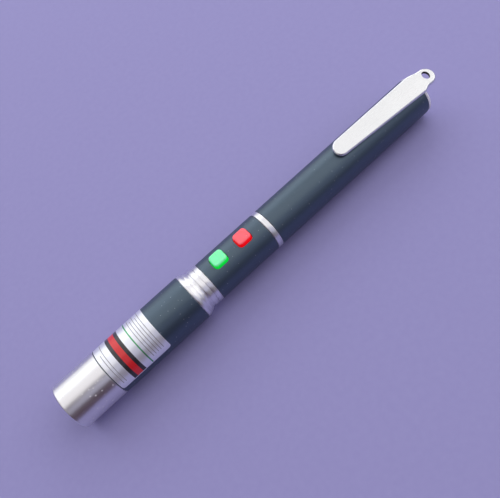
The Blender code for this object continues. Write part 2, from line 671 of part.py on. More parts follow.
def tail_tube(tail):
    """Matte black tube that screws over the coupling ring and holds the cell."""
    outer, bore, mouth = TUBE_DIAMETER / 2, TAIL_BORE / 2, TAIL_MOUTH_BORE / 2
    start = TAIL_START + SEAM
    step = THREAD_END + SEAT
    turned("tail_tube", [
        (start, mouth, 0), (start, outer, EDGE_CHAMFER), (TAIL_END, outer, TAIL_EDGE),
        (TAIL_END, bore, 0), (step, bore, 0), (step, mouth, 0),
    ], matte_black("tail tube black"), tail)


def helix_points(start, end):
    """Middle line of the spring, from the cell's base to the cap's plug."""
    count = round(SPRING_TURNS * SPRING_POINTS_PER_TURN)
    radius = SPRING_DIAMETER / 2
    points = []
    for index in range(count + 1):
        angle = 2 * pi * SPRING_TURNS * index / count
        place = start + (end - start) * index / count
        points.append(Vector((place, radius * sin(angle), radius * cos(angle))))
    return points


def tail_spring(tail):
    """Wire spring that presses the cell forward: one unbroken tube along a helix."""
    wire = SPRING_WIRE / 2
    points = helix_points(CELL_END + SEAT + wire, CAP_PLUG_START - SEAT - wire)
    curve = bpy.data.curves.new("tail_spring", "CURVE")
    curve.dimensions = "3D"
    curve.bevel_depth = wire
    curve.bevel_resolution = 1
    curve.use_fill_caps = True
    spline = curve.splines.new("POLY")
    spline.points.add(len(points) - 1)
    for point, target in zip(points, spline.points):
        target.co = (*point, 1.0)
    curve.materials.append(finish("spring steel", (0.72, 0.72, 0.74), 0.25, 1.0))
    spring = bpy.data.objects.new("tail_spring", curve)
    bpy.context.collection.objects.link(spring)
    spring.parent = tail
    far = SPRING_POINTS_PER_TURN // 2
    apart = min((first - second).length for index, first in enumerate(points)
                for second in points[index + far:])
    print(f"tail_spring: least gap between turns {(apart - SPRING_WIRE) / MM:.2f} mm")


def end_cap(tail):
    """Silver plug with a flange that shows past the tube, a nose for the spring and a slot."""
    flange, plug = CAP_FLANGE_DIAMETER / 2, TAIL_BORE / 2 - PRESS
    nose = CAP_NOSE_DIAMETER / 2
    nose_start = CAP_PLUG_START - CAP_NOSE_LENGTH
    cap = turned("end_cap", [
        (nose_start, 0, 0), (nose_start, nose, EDGE_CHAMFER), (CAP_PLUG_START, nose, 0),
        (CAP_PLUG_START, plug, 0), (CAP_FLANGE_START, plug, 0), (CAP_FLANGE_START, flange, 0),
        (CAP_END, flange, CAP_EDGE), (CAP_END, 0, 0),
    ], satin_silver("cap silver"), tail)
    start, end = CAP_FLANGE_START - SLOT_RELIEF, CAP_END + OVERRUN
    floor = CLIP_TOP - CLIP_THICKNESS - LEG_REACH - SEAT
    top = CAP_FLANGE_DIAMETER / 2 + OVERRUN
    slot = block("leg slot cutter", (end - start, LEG_WIDTH + 2 * SEAT, top - floor),
                 ((start + end) / 2, 0, (floor + top) / 2), None, tail)
    combine(cap, slot, "DIFFERENCE")


def clip_stations():
    """Distance from the clip's tip and half width there, for each section of the clip."""
    tip, shoulder = CLIP_TIP_WIDTH / 2, CLIP_SHOULDER_WIDTH / 2
    eyelet = EYELET_DIAMETER / 2
    steps = 2 * ARC_STEPS
    quarter = [pi / 2 * step / steps for step in range(steps + 1)]
    stations = [(tip * (1 - cos(angle)), tip * sin(angle)) for angle in quarter]
    eyelet_centre = CLIP_LENGTH - eyelet
    shoulder_end = eyelet_centre - NECK_LENGTH
    for step in range(steps + 1):
        share = step / steps
        ease = share * share * (3 - 2 * share)
        stations.append((shoulder_end - SHOULDER_LENGTH * (1 - share),
                         shoulder + (eyelet - shoulder) * ease))
    stations += [(eyelet_centre + eyelet * sin(angle), eyelet * cos(angle)) for angle in quarter]
    return stations


def clip_section(along, half_width):
    """Loop of points round the clip at one station: flat foot, round edges, crowned top."""
    dip = max(0.0, 1 - along / TOE_LENGTH) ** 2
    top = CLIP_TOP - CLIP_ROOT_RADIUS - TOE_TOP_DROP * dip
    foot = CLIP_TOP - CLIP_THICKNESS - CLIP_ROOT_RADIUS - TOE_FOOT_DROP * dip
    edge = min(CLIP_EDGE, half_width)
    crown = CLIP_CROWN * half_width / (CLIP_SHOULDER_WIDTH / 2)
    bevel = edge * (1 - cos(pi / 4))
    half = [(half_width - edge, foot), (half_width, foot + CLIP_EDGE), (half_width, top - edge),
            (half_width - bevel, top - bevel), (half_width - edge, top)]
    mirrored = [(-across, height) for across, height in reversed(half)]
    ring = [(0.0, foot), *half, (0.0, top + crown), *mirrored]
    x = CLIP_TIP_X + along - CLIP_ROOT_X
    return [(x, across, height) for across, height in ring]


def clip(tail):
    """Tapered spring clip with a dipped toe, a lanyard eyelet and a leg in the cap's slot."""
    root = (CLIP_ROOT_X, 0, CLIP_ROOT_RADIUS)
    rings = [clip_section(*station) for station in clip_stations()]
    arm = stacked("clip", rings, satin_silver("clip silver"), tail, root)
    foot = CLIP_TOP - CLIP_THICKNESS - LEG_REACH - CLIP_ROOT_RADIUS
    top = CLIP_TOP - CLIP_THICKNESS / 2 - CLIP_ROOT_RADIUS
    leg = block("clip leg", (LEG_THICKNESS, LEG_WIDTH, top - foot), (0, 0, (foot + top) / 2),
                None, arm)
    combine(arm, leg, "UNION")
    hole = upright("eyelet cutter", -CLIP_ROOT_RADIUS, CLIP_TOP, EYELET_HOLE, None, arm,
                   EYELET_X - CLIP_ROOT_X)
    combine(arm, hole, "DIFFERENCE")
    arm.rotation_euler.z = -CLIP_SKEW


def build_pen():
    pen = empty("pen axis", None, -OVERALL_LENGTH / 2, AXIS_HEIGHT)
    green_axis = empty("green axis", pen, z=GREEN_OFFSET)
    red_axis = empty("red axis", pen, z=-RED_OFFSET)
    nose_cap(pen)
    aperture_plate(pen, green_axis, red_axis)
    module_block(pen, green_axis, red_axis)
    green_module(green_axis)
    red_module(red_axis)
    head_barrel(pen)
    collar(pen)
    switch_tube(pen)
    button("green_button", GREEN_BUTTON_X, (0.10, 0.90, 0.30), pen)
    button("red_button", RED_BUTTON_X, (0.90, 0.04, 0.06), pen)
    push_switch("green", GREEN_BUTTON_X, pen)
    push_switch("red", RED_BUTTON_X, pen)
    circuit_board(pen)
    board_cradle(pen)
    coupling_ring(pen)
    front_contact(pen)
    battery_cell(pen)
    tail = empty("tail axis", pen)
    tail.rotation_euler.x = 2 * pi / BARREL_SIDES * TAIL_STEPS
    tail_tube(tail)
    tail_spring(tail)
    end_cap(tail)
    clip(tail)


clear_scene()
build_pen()
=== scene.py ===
# %% [markdown]
# # Dressing a two-colour laser pointer
#
# The solids of this pen are already worked out and fixed: they say where each piece is and how it
# moves. This notebook puts the finished surfaces on them. The outer pieces are modelled again with
# rounder edges and finer detail, each in the place of the solid that it stands for. The inner
# pieces keep their solids and only get a finish.
#
# Blender counts in metres. The values below are written in millimetres and turned into metres by
# `MM`, because that is how a small turned part is measured.

import json
from math import pi, radians

import bmesh
import bpy
from mathutils import Matrix, Vector


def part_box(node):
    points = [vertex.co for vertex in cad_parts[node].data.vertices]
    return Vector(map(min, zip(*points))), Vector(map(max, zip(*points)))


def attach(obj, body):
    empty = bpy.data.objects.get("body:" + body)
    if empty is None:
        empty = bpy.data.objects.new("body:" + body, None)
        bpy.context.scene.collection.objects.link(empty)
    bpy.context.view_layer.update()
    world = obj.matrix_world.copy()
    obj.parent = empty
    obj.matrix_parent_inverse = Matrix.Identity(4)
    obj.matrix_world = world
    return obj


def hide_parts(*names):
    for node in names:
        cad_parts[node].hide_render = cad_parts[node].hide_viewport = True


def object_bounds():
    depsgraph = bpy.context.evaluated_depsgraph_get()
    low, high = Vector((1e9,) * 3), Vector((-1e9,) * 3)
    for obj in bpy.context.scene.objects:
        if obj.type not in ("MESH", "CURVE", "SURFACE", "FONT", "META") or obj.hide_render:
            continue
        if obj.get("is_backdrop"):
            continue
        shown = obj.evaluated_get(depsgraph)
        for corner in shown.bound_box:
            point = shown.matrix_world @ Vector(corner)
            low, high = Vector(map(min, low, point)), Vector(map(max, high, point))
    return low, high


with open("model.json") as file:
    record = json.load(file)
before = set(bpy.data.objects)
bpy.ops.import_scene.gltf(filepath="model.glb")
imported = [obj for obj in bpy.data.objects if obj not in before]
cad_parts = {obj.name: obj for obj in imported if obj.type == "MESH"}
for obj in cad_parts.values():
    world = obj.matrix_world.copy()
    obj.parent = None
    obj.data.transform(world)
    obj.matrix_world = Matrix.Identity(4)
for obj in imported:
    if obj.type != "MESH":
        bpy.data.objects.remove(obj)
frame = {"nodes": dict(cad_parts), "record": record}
MM = 0.001
cad_low, cad_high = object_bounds()
print("the pen fills", [round(side / MM, 2) for side in cad_high - cad_low], "mm")

# %% [markdown]
# ## Where the pieces are
#
# The pen lies along X. A turned part is easiest to think of as distances along its axis and radii
# from it, so small helpers turn such a pair into a point. The places of the solids are read from
# the frame and not typed in, so that a piece can't drift away from what carries it.

# %% The pen's axis and the ends of its pieces
NOSE_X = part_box("nose_cap")[0].x
barrel_low, barrel_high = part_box("head_barrel")
AXIS_Z = (barrel_low.z + barrel_high.z) / 2


def at(distance):
    """X of a distance in millimetres from the nose's front face."""
    return NOSE_X + distance * MM


def over(height):
    """Z of a height in millimetres over the pen's axis."""
    return AXIS_Z + height * MM


def ends(node):
    """Where a solid starts and ends along the pen, in millimetres from the nose's front face."""
    low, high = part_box(node)
    return (low.x - NOSE_X) / MM, (high.x - NOSE_X) / MM


def middle(node):
    """The middle of a solid, in millimetres along and over the axis."""
    low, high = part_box(node)
    return ((low.x + high.x) / 2 - NOSE_X) / MM, ((low.z + high.z) / 2 - AXIS_Z) / MM


for node in ("nose_cap", "head_barrel", "collar", "switch_tube", "coupling_ring", "tail_tube"):
    print(node, [round(place, 2) for place in ends(node)])

# %% [markdown]
# ## Picking by place
#
# By hand one would click on an edge. In code it is picked by where it is: everything is deselected
# and then a test is put to each vertex, edge or face. A new primitive gets its place in its mesh at
# once, so that the tests can use real places on the pen.

# %% Helpers for adding, picking and finishing
SAME_PLACE, CLOSE_BY = 0.0005 * MM, 0.02 * MM
PICK_MODES = {"verts": "VERT", "edges": "EDGE", "faces": "FACE"}


def add(primitive, **settings):
    """Add a primitive with nothing else selected, its place in its mesh."""
    bpy.ops.object.select_all(action="DESELECT")
    getattr(bpy.ops.mesh, f"primitive_{primitive}_add")(**settings)
    bpy.ops.object.transform_apply(location=True, rotation=True, scale=True)
    return bpy.context.object


def choose(piece):
    """Select one piece and nothing else."""
    bpy.ops.object.select_all(action="DESELECT")
    bpy.context.view_layer.objects.active = piece
    piece.select_set(True)


def edit(piece):
    """Open one piece in edit mode, with nothing else selected."""
    choose(piece)
    bpy.ops.object.mode_set(mode="EDIT")


def leave_edit():
    """Go back to object mode."""
    bpy.ops.object.mode_set(mode="OBJECT")


def pick(piece, kind, wanted):
    """In edit mode, select only the verts, edges or faces that pass a test, and count them."""
    bpy.ops.mesh.select_mode(type=PICK_MODES[kind])
    bpy.ops.mesh.select_all(action="DESELECT")
    found = [item for item in getattr(bmesh.from_edit_mesh(piece.data), kind) if wanted(item)]
    for item in found:
        item.select_set(True)
    bmesh.update_edit_mesh(piece.data)
    return len(found)


def pick_all():
    """In edit mode, select the whole piece."""
    bpy.ops.mesh.select_all(action="SELECT")


def weld():
    """In edit mode, join the vertices that share a place."""
    pick_all()
    bpy.ops.mesh.remove_doubles(threshold=SAME_PLACE)


def extrude_up(height):
    """In edit mode, extrude what is picked straight up, or down by a negative height."""
    bpy.ops.mesh.extrude_region_move(TRANSFORM_OT_translate={"value": (0, 0, height)})


def face_outwards():
    """In edit mode, turn the front of every face outwards."""
    pick_all()
    bpy.ops.mesh.normals_make_consistent(inside=False)


def modify(piece, kind, **settings):
    """Add a modifier to a piece, set it and apply it."""
    choose(piece)
    modifier = piece.modifiers.new(kind, kind)
    for setting, value in settings.items():
        setattr(modifier, setting, value)
    bpy.ops.object.modifier_apply(modifier=modifier.name)


def finish_piece(piece, name, smooth_under=32):
    """Leave edit mode, name and shade the piece, and print what was made."""
    leave_edit()
    piece.name = piece.data.name = name
    bpy.ops.object.transform_apply(location=True, rotation=True, scale=True)
    bpy.ops.object.shade_smooth_by_angle(angle=radians(smooth_under))
    modify(piece, "WEIGHTED_NORMAL", keep_sharp=True)
    shape = bmesh.new()
    shape.from_mesh(piece.data)
    open_edges = sum(not edge.is_manifold for edge in shape.edges)
    shape.free()
    sides = [round(side / MM, 2) for side in piece.dimensions]
    print(f"{name}: {sides} mm, {len(piece.data.polygons)} faces, {open_edges} open edges")
    return piece


# %% [markdown]
# ## Drawing an outline and spinning it
#
# Most of this pen was turned on a lathe, and it is made the same way here: half of the section is
# drawn, then spun round the axis. The outline starts as a plane merged to one vertex, which is
# extruded from corner to corner. A cylinder with loops scaled in and out would give the same tube,
# but an outline keeps each step and groove readable as a list of corners. Round corners are bevelled
# while the outline is still a line, which is simpler than bevelling the whole ring.

# %% Helpers for turned pieces
TURN_STEPS, ROUND_STEPS = 160, 4


def draw(corners):
    """Extrude one vertex through a list of points and back to the first."""
    piece = add("plane", size=MM, location=corners[0])
    edit(piece)
    bpy.ops.mesh.select_mode(type="VERT")
    bpy.ops.mesh.merge(type="CENTER")
    for before, after in zip(corners, corners[1:] + corners[:1]):
        bpy.ops.mesh.extrude_vertices_move(TRANSFORM_OT_translate={"value": after - before})
    weld()
    return piece


def round_corner(piece, place, rounding, segments=ROUND_STEPS):
    """Bevel the one corner of an outline that is at a place."""
    pick(piece, "verts", lambda vert: (vert.co - place).length < SAME_PLACE)
    bpy.ops.mesh.bevel(offset=rounding * MM, segments=segments, affect="VERTICES")


def turn(name, outline):
    """Spin an outline of (distance, radius, rounding) in millimetres about the pen's axis."""
    corners = [Vector((at(distance), 0, over(radius))) for distance, radius, _ in outline]
    piece = draw(corners)
    for place, (_, _, rounding) in zip(corners, outline):
        if rounding:
            round_corner(piece, place, rounding)
    pick_all()
    bpy.ops.mesh.spin(steps=TURN_STEPS, angle=2 * pi, center=(0, 0, AXIS_Z), axis=(1, 0, 0))
    weld()
    bpy.ops.mesh.delete_loose(use_verts=False, use_edges=True, use_faces=False)
    face_outwards()
    return finish_piece(piece, name)


# %% [markdown]
# ## Nose
#
# The nose is a satin plated sleeve. Its front edge is rounded just enough to catch a thin line of
# light, a short lip holds the black disc behind it, and a thinner spigot runs back into the barrel.
# The head's radius is kept a hair under the solid's, so that the round surface stays inside it.

# %% Turn the nose sleeve
HEAD_RADIUS = 7.93
NOSE_SHOULDER, NOSE_SPIGOT, NOSE_BORE = 15.2, 7.1, 6.5
LIP_RADIUS, LIP_DEPTH = 5.9, 0.9
nose_start, nose_end = ends("nose_cap")
turn("nose_sleeve", [
    (nose_start, LIP_RADIUS, 0.15), (nose_start, HEAD_RADIUS, 0.4),
    (NOSE_SHOULDER, HEAD_RADIUS, 0.1), (NOSE_SHOULDER, NOSE_SPIGOT, 0),
    (nose_end, NOSE_SPIGOT, 0.15), (nose_end, NOSE_BORE, 0),
    (LIP_DEPTH, NOSE_BORE, 0), (LIP_DEPTH, LIP_RADIUS, 0.08)])

# %% [markdown]
# ## Aperture disc
#
# A black disc closes the front, with a hole for each laser, the green one above the red one. A
# Boolean is the natural choice for a hole through a finished disc. The holes' front edges are then
# bevelled into small countersinks.

# %% Turn the disc and drill it
BEAM_RADIUS, COUNTERSINK = 1.6, 0.3
DRILL_SIDES, DRILL_LENGTH = 64, 4


def cut(piece, cutter):
    """Take one shape out of another with an exact Boolean and remove the cutter."""
    modify(piece, "BOOLEAN", operation="DIFFERENCE", solver="EXACT", object=cutter)
    bpy.data.objects.remove(cutter)


PLATE_RADIUS = 6.4
plate_start, plate_end = ends("aperture_plate")
beam_heights = [middle(lens)[1] for lens in ("green_lens", "red_lens")]
print("beams at", [round(height, 2) for height in beam_heights], "mm over the axis")
beams = [Vector((at(plate_start), 0, over(height))) for height in beam_heights]
disc = turn("aperture_disc", [
    (plate_start, 0, 0), (plate_start, PLATE_RADIUS, 0.15), (plate_end, PLATE_RADIUS, 0.1),
    (plate_end, 0, 0)])
for beam in beams:
    cut(disc, add("cylinder", vertices=DRILL_SIDES, radius=BEAM_RADIUS * MM,
                  depth=DRILL_LENGTH * MM, location=beam, rotation=(0, pi / 2, 0)))
edit(disc)
for beam in beams:
    pick(disc, "edges", lambda edge: all(
        abs((vert.co - beam).length - BEAM_RADIUS * MM) < CLOSE_BY for vert in edge.verts))
    bpy.ops.mesh.bevel(offset=COUNTERSINK * MM, segments=1, clamp_overlap=False)
finish_piece(disc, "aperture_disc")

# %% [markdown]
# ## Barrel
#
# The barrel is a plain tube with a soft matte lacquer. Its shape is simple, and what makes it look
# real is its edges: lacquer pulls back from a sharp corner, so each end gets a small round. Where
# one turned piece meets the next, along the whole pen, a hairline gap is left between them.

# %% Turn the barrel
HAIRLINE = 0.1
BARREL_BORE, BARREL_END_ROUND = 7.2, 0.15
barrel_start, barrel_end = ends("head_barrel")
barrel = turn("barrel_tube", [
    (barrel_start, BARREL_BORE, 0), (barrel_start, HEAD_RADIUS, 0.12),
    (barrel_end, HEAD_RADIUS, BARREL_END_ROUND), (barrel_end, BARREL_BORE, 0)])

# %% [markdown]
# ## Label
#
# A silver foil label is wrapped round the barrel. A real one is cut flat and then rolled, so it is
# made that way here too: a plane, its four corners bevelled, sliced across so that it can bend, and
# rolled by a bend modifier. The plane's own UV map rolls with it, so the printing can later be laid
# out as on flat paper.

# %% Cut the label flat
LABEL_START, LABEL_LENGTH, LABEL_ARC = 15.5, 18.37, 205.0
LABEL_RADIUS, LABEL_THICKNESS = HEAD_RADIUS + 0.005, 0.025
LABEL_NEAR_EDGE = 83.0
LABEL_CORNER, LABEL_CORNER_STEPS = 1.0, 8
LABEL_SLICES = 120
label_wrap = radians(LABEL_ARC) * LABEL_RADIUS
label = add("plane", size=1, rotation=(pi / 2, 0, 0))
edit(label)
pick_all()
bpy.ops.transform.resize(value=(LABEL_LENGTH * MM, 1, label_wrap * MM))
bpy.ops.mesh.bevel(offset=LABEL_CORNER * MM, segments=LABEL_CORNER_STEPS, affect="VERTICES")
for number in range(1, LABEL_SLICES):
    pick_all()
    bpy.ops.mesh.bisect(plane_co=(0, 0, (number / LABEL_SLICES - 0.5) * label_wrap * MM),
                        plane_no=(0, 0, 1))
leave_edit()
print("flat label:", LABEL_LENGTH, "by", round(label_wrap, 2), "mm")

# %% [markdown]
# `transform.rotate` can turn a selection about any point. Run without a window it turns the other
# way from the right-hand rule, so the helper below negates the angle and always names its centre.

# %% Roll the label and lay it on the barrel
def rotate_piece(piece, angle, axis="X", centre=(0, 0, AXIS_Z)):
    """Turn a whole piece by the right-hand rule, about the pen's axis if no other is given."""
    edit(piece)
    pick_all()
    bpy.ops.transform.rotate(value=-angle, orient_axis=axis, center_override=centre)
    leave_edit()


modify(label, "SIMPLE_DEFORM", deform_method="BEND", deform_axis="X", angle=radians(LABEL_ARC))
modify(label, "SOLIDIFY", thickness=LABEL_THICKNESS * MM, offset=1)
edit(label)
pick_all()
bpy.ops.transform.translate(
    value=(at(LABEL_START + LABEL_LENGTH / 2), -LABEL_RADIUS * MM, AXIS_Z))
leave_edit()
rotate_piece(label, radians(LABEL_NEAR_EDGE - LABEL_ARC / 2 - 90))
finish_piece(label, "foil_label")

# %% [markdown]
# ## Collar
#
# Between the head and the thinner tube sits a bright collar with cones, bands and grooves. All of
# it is one outline. The light on this part is a row of thin bright and dark lines, and each line is
# one rounded step, so almost every corner has its own small rounding. The cones start in a larger
# round, which makes their bright lines taper as they run down the side.

# %% Turn the collar
RIM_RADIUS, GROOVE_RADIUS, DEEP_GROOVE = 7.88, 6.62, 6.4
FRONT_SPIGOT, REAR_SPIGOT, COLLAR_BORE = 7.1, 5.95, 5.2
COLLAR_FACE = barrel_end + HAIRLINE
STEPS = [
    (0.00, RIM_RADIUS, 0.12), (0.80, RIM_RADIUS, 0.45), (1.76, 7.28, 0.14), (2.08, 7.26, 0.16),
    (2.90, 6.80, 0.05), (2.96, GROOVE_RADIUS, 0.04), (3.46, GROOVE_RADIUS, 0.04),
    (3.54, 6.68, 0.04), (3.70, 6.78, 0.05), (5.16, 6.76, 0.06),
    (5.19, DEEP_GROOVE, 0.02), (5.34, DEEP_GROOVE, 0.02), (5.37, 6.76, 0.06),
    (6.90, 6.76, 0.12)]
collar_start, collar_end = ends("collar")
turn("stepped_collar", [
    (collar_start, COLLAR_BORE, 0), (collar_start, FRONT_SPIGOT, 0.1),
    (COLLAR_FACE, FRONT_SPIGOT, 0),
    *[(COLLAR_FACE + along, radius, rounding) for along, radius, rounding in STEPS],
    (COLLAR_FACE + STEPS[-1][0], REAR_SPIGOT, 0), (collar_end, REAR_SPIGOT, 0.1),
    (collar_end, COLLAR_BORE, 0)])

# %% [markdown]
# ## Switch tube
#
# The tube behind the collar has a window with round corners for each button. A cutter is made from
# a cube whose upright edges are bevelled. The lacquer's soft edge round each window is a small
# bevel on the edges where the wall meets the outside.

# %% Turn the tube
TUBE_RADIUS, TUBE_BORE = 6.74, 6.05
tube_start, tube_end = ends("switch_tube")
switch_tube = turn("switch_tube_shell", [
    (tube_start, TUBE_BORE, 0), (tube_start, TUBE_RADIUS, 0.12),
    (tube_end, TUBE_RADIUS, 0.12), (tube_end, TUBE_BORE, 0)])

# %% Cut the two windows
BUTTON_LENGTH, BUTTON_WIDTH, BUTTON_CORNER, BUTTON_GAP = 5.15, 4.65, 1.2, 0.12
WINDOW_FOOT, WINDOW_TOP = 3, 9
KEY_STEPS = 8
WINDOW_EDGE, WALL_DEPTH, END_MARGIN, SHARP = 0.05, 0.1, 1, radians(40)


def upright_block(distance, length, width, corner, foot, top):
    """A block with round upright edges, its foot and top over the axis, left in edit mode."""
    centre = (at(distance), 0, over((foot + top) / 2))
    piece = add("cube", size=MM, location=centre)
    edit(piece)
    pick_all()
    bpy.ops.transform.resize(value=(length, width, top - foot), center_override=centre)
    pick(piece, "edges", lambda edge: abs(edge.verts[0].co.z - edge.verts[1].co.z) > SAME_PLACE)
    bpy.ops.mesh.bevel(offset=corner * MM, segments=KEY_STEPS)
    return piece


def is_window_rim(edge):
    """Whether an edge is where a window's wall meets the tube's outside."""
    outside = all(Vector((0, vert.co.y, vert.co.z - AXIS_Z)).length
                  > (TUBE_RADIUS - WALL_DEPTH) * MM for vert in edge.verts)
    between = all(at(tube_start + END_MARGIN) < vert.co.x < at(tube_end - END_MARGIN)
                  for vert in edge.verts)
    return outside and between and edge.calc_face_angle(0) > SHARP


for button in ("green_button", "red_button"):
    cutter = upright_block(middle(button)[0], BUTTON_LENGTH + 2 * BUTTON_GAP,
                           BUTTON_WIDTH + 2 * BUTTON_GAP, BUTTON_CORNER + BUTTON_GAP,
                           WINDOW_FOOT, WINDOW_TOP)
    leave_edit()
    cut(switch_tube, cutter)
edit(switch_tube)
print("window rims:", pick(switch_tube, "edges", is_window_rim), "edges")
bpy.ops.mesh.bevel(offset=WINDOW_EDGE * MM, segments=2, clamp_overlap=False)
finish_piece(switch_tube, "switch_tube_shell")

# %% [markdown]
# ## Buttons
#
# Each button is a moulded cap. From above it is a square with round corners, and its top rolls
# over softly to its sides. Inside the tube a flange keeps it in its window and a stem reaches down
# to its switch. It is one block: its top rim is bevelled, and its foot is inset outwards, extruded
# down for the flange, inset inwards and extruded down for the stem.

# %% Model both buttons
TOP_TAPER, TOP_ROUND, TOP_STEPS = 0.94, 0.55, 7
FLANGE_TOP, FLANGE_FOOT, FLANGE_REACH = 5.05, 4.45, 0.5
STEM_INSET = 1.7


def faces_down(face):
    """Whether a face looks straight down."""
    return face.normal.z < -0.99


def button_cap(name, node):
    """Model one button from its solid's place, top and foot."""
    low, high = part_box(node)
    cap = upright_block(middle(node)[0], BUTTON_LENGTH, BUTTON_WIDTH, BUTTON_CORNER,
                        FLANGE_TOP, (high.z - AXIS_Z) / MM)
    pick(cap, "verts", lambda vert: vert.co.z > high.z - SAME_PLACE)
    bpy.ops.transform.resize(value=(TOP_TAPER, TOP_TAPER, 1),
                             center_override=(at(middle(node)[0]), 0, high.z))
    pick(cap, "edges", lambda edge: all(vert.co.z > high.z - SAME_PLACE for vert in edge.verts))
    bpy.ops.mesh.bevel(offset=TOP_ROUND * MM, segments=TOP_STEPS)
    pick(cap, "faces", faces_down)
    bpy.ops.mesh.inset(thickness=FLANGE_REACH * MM, use_outset=True)
    extrude_up((FLANGE_FOOT - FLANGE_TOP) * MM)
    bpy.ops.mesh.inset(thickness=STEM_INSET * MM)
    extrude_up(low.z - over(FLANGE_FOOT))
    face_outwards()
    finish_piece(cap, name, smooth_under=40)


button_cap("green_key_cap", "green_button")
button_cap("red_key_cap", "red_button")

# %% [markdown]
# ## Coupling ring and its thread
#
# A thin bright ring shows between the two tubes. Behind it a threaded spigot reaches into the tail,
# and shows when the tail is screwed back to change the cell. A real thread is a groove that climbs
# by one pitch a turn. The screw modifier sweeps an outline in just that way, so a small section of
# the ridge is drawn once and swept, and its two open ends are filled.

# %% Turn the ring and sweep the thread
RING_RADIUS, RING_BORE, THREAD_BORE = 6.79, 5.2, 4.9
THREAD_ROOT, THREAD_CREST, THREAD_PITCH, THREAD_TURNS = 5.3, 5.74, 1.0, 4.5
THREAD_SUNK, THREAD_START, THREAD_STEPS = THREAD_ROOT - 0.1, 0.4, 96
ring_start, thread_end = ends("coupling_ring")
ring_face, ring_back = tube_end + HAIRLINE, ends("tail_tube")[0] - HAIRLINE
turn("coupling_collar", [
    (ring_start, RING_BORE, 0), (ring_start, REAR_SPIGOT, 0.1), (ring_face, REAR_SPIGOT, 0),
    (ring_face, RING_RADIUS, 0.18), (ring_back, RING_RADIUS, 0.18), (ring_back, THREAD_ROOT, 0),
    (thread_end, THREAD_ROOT, 0.2), (thread_end, THREAD_BORE, 0), (ring_face, THREAD_BORE, 0),
    (ring_face, RING_BORE, 0)])
RIDGE = [(0.0, THREAD_SUNK), (0.38, THREAD_CREST), (0.5, THREAD_CREST), (0.88, THREAD_SUNK)]
thread = draw([Vector((at(ring_back + THREAD_START + along), 0, over(radius)))
               for along, radius in RIDGE])
leave_edit()
bpy.context.scene.cursor.location = (0, 0, AXIS_Z)
bpy.ops.object.origin_set(type="ORIGIN_CURSOR")
sweep_steps = round(THREAD_STEPS * THREAD_TURNS)
modify(thread, "SCREW", axis="X", screw_offset=THREAD_PITCH * THREAD_TURNS * MM,
       angle=2 * pi * THREAD_TURNS, steps=sweep_steps, render_steps=sweep_steps)
edit(thread)
pick_all()
bpy.ops.mesh.fill_holes(sides=len(RIDGE))
face_outwards()
finish_piece(thread, "coupling_thread", smooth_under=25)

# %% [markdown]
# ## Tail tube and end cap
#
# The tail tube holds the cell. Its mouth is wider where the thread goes in, and its far end has a
# larger round. The end cap is a silver plug: only its thin flange shows, and a slot in the flange
# takes the clip's leg. The whole tail is screwed a little past the buttons, so the cap is turned
# with it.

# %% Turn the tail
TAIL_MOUTH, TAIL_BORE, MOUTH_DEPTH, TAIL_END_ROUND = 6.05, 5.5, 6.2, 0.2
tail_start, tail_end = ends("tail_tube")
turn("tail_tube_shell", [
    (tail_start, TAIL_MOUTH, 0.1), (tail_start, TUBE_RADIUS, 0.12),
    (tail_end, TUBE_RADIUS, TAIL_END_ROUND), (tail_end, TAIL_BORE, 0.05),
    (tail_start + MOUTH_DEPTH, TAIL_BORE, 0.1), (tail_start + MOUTH_DEPTH, TAIL_MOUTH, 0)])

# %% Turn the cap and cut its slot
FLANGE_RADIUS, PLUG_RADIUS, NUB_RADIUS = 6.7, 5.4, 2.6
CAP_PLUG, CAP_NUB = 4.0, 1.6
SLOT_WIDTH, SLOT_FLOOR, SLOT_DEPTH, SLOT_CORNER = 3.6, 4.9, 1.3, 0.4
SLOT_HEIGHT, RUN_OUT = 3, 1
TAIL_ROLL = radians(10.6)
cap_face, cap_end = tail_end + HAIRLINE, ends("end_cap")[1]
end_cap = turn("end_cap_plug", [
    (cap_face - CAP_PLUG - CAP_NUB, 0, 0), (cap_face - CAP_PLUG - CAP_NUB, NUB_RADIUS, 0.3),
    (cap_face - CAP_PLUG, NUB_RADIUS, 0), (cap_face - CAP_PLUG, PLUG_RADIUS, 0.15),
    (cap_face, PLUG_RADIUS, 0), (cap_face, FLANGE_RADIUS, 0.1), (cap_end, FLANGE_RADIUS, 0.62),
    (cap_end, 0, 0)])
slot_middle = cap_end - SLOT_DEPTH / 2 + RUN_OUT / 2
cutter = upright_block(slot_middle, SLOT_DEPTH + RUN_OUT, SLOT_WIDTH, SLOT_CORNER, SLOT_FLOOR,
                       SLOT_FLOOR + SLOT_HEIGHT)
leave_edit()
cut(end_cap, cutter)
rotate_piece(end_cap, TAIL_ROLL)
finish_piece(end_cap, "end_cap_plug")

# %% [markdown]
# ## Clip
#
# The clip is stamped from sheet: a long tongue that widens a little towards two shoulders, then a
# narrow neck with an eyelet for a cord. So it starts as a flat outline, gets its thickness by one
# extrusion, and its rims are rounded before anything else is cut into it. The eyelet's hole is a
# little wider than it is long. The toe at the tip bends down a little, towards the tube. A
# proportional move does that bend, and it needs vertices to bend, so the first millimetres are
# sliced across first.

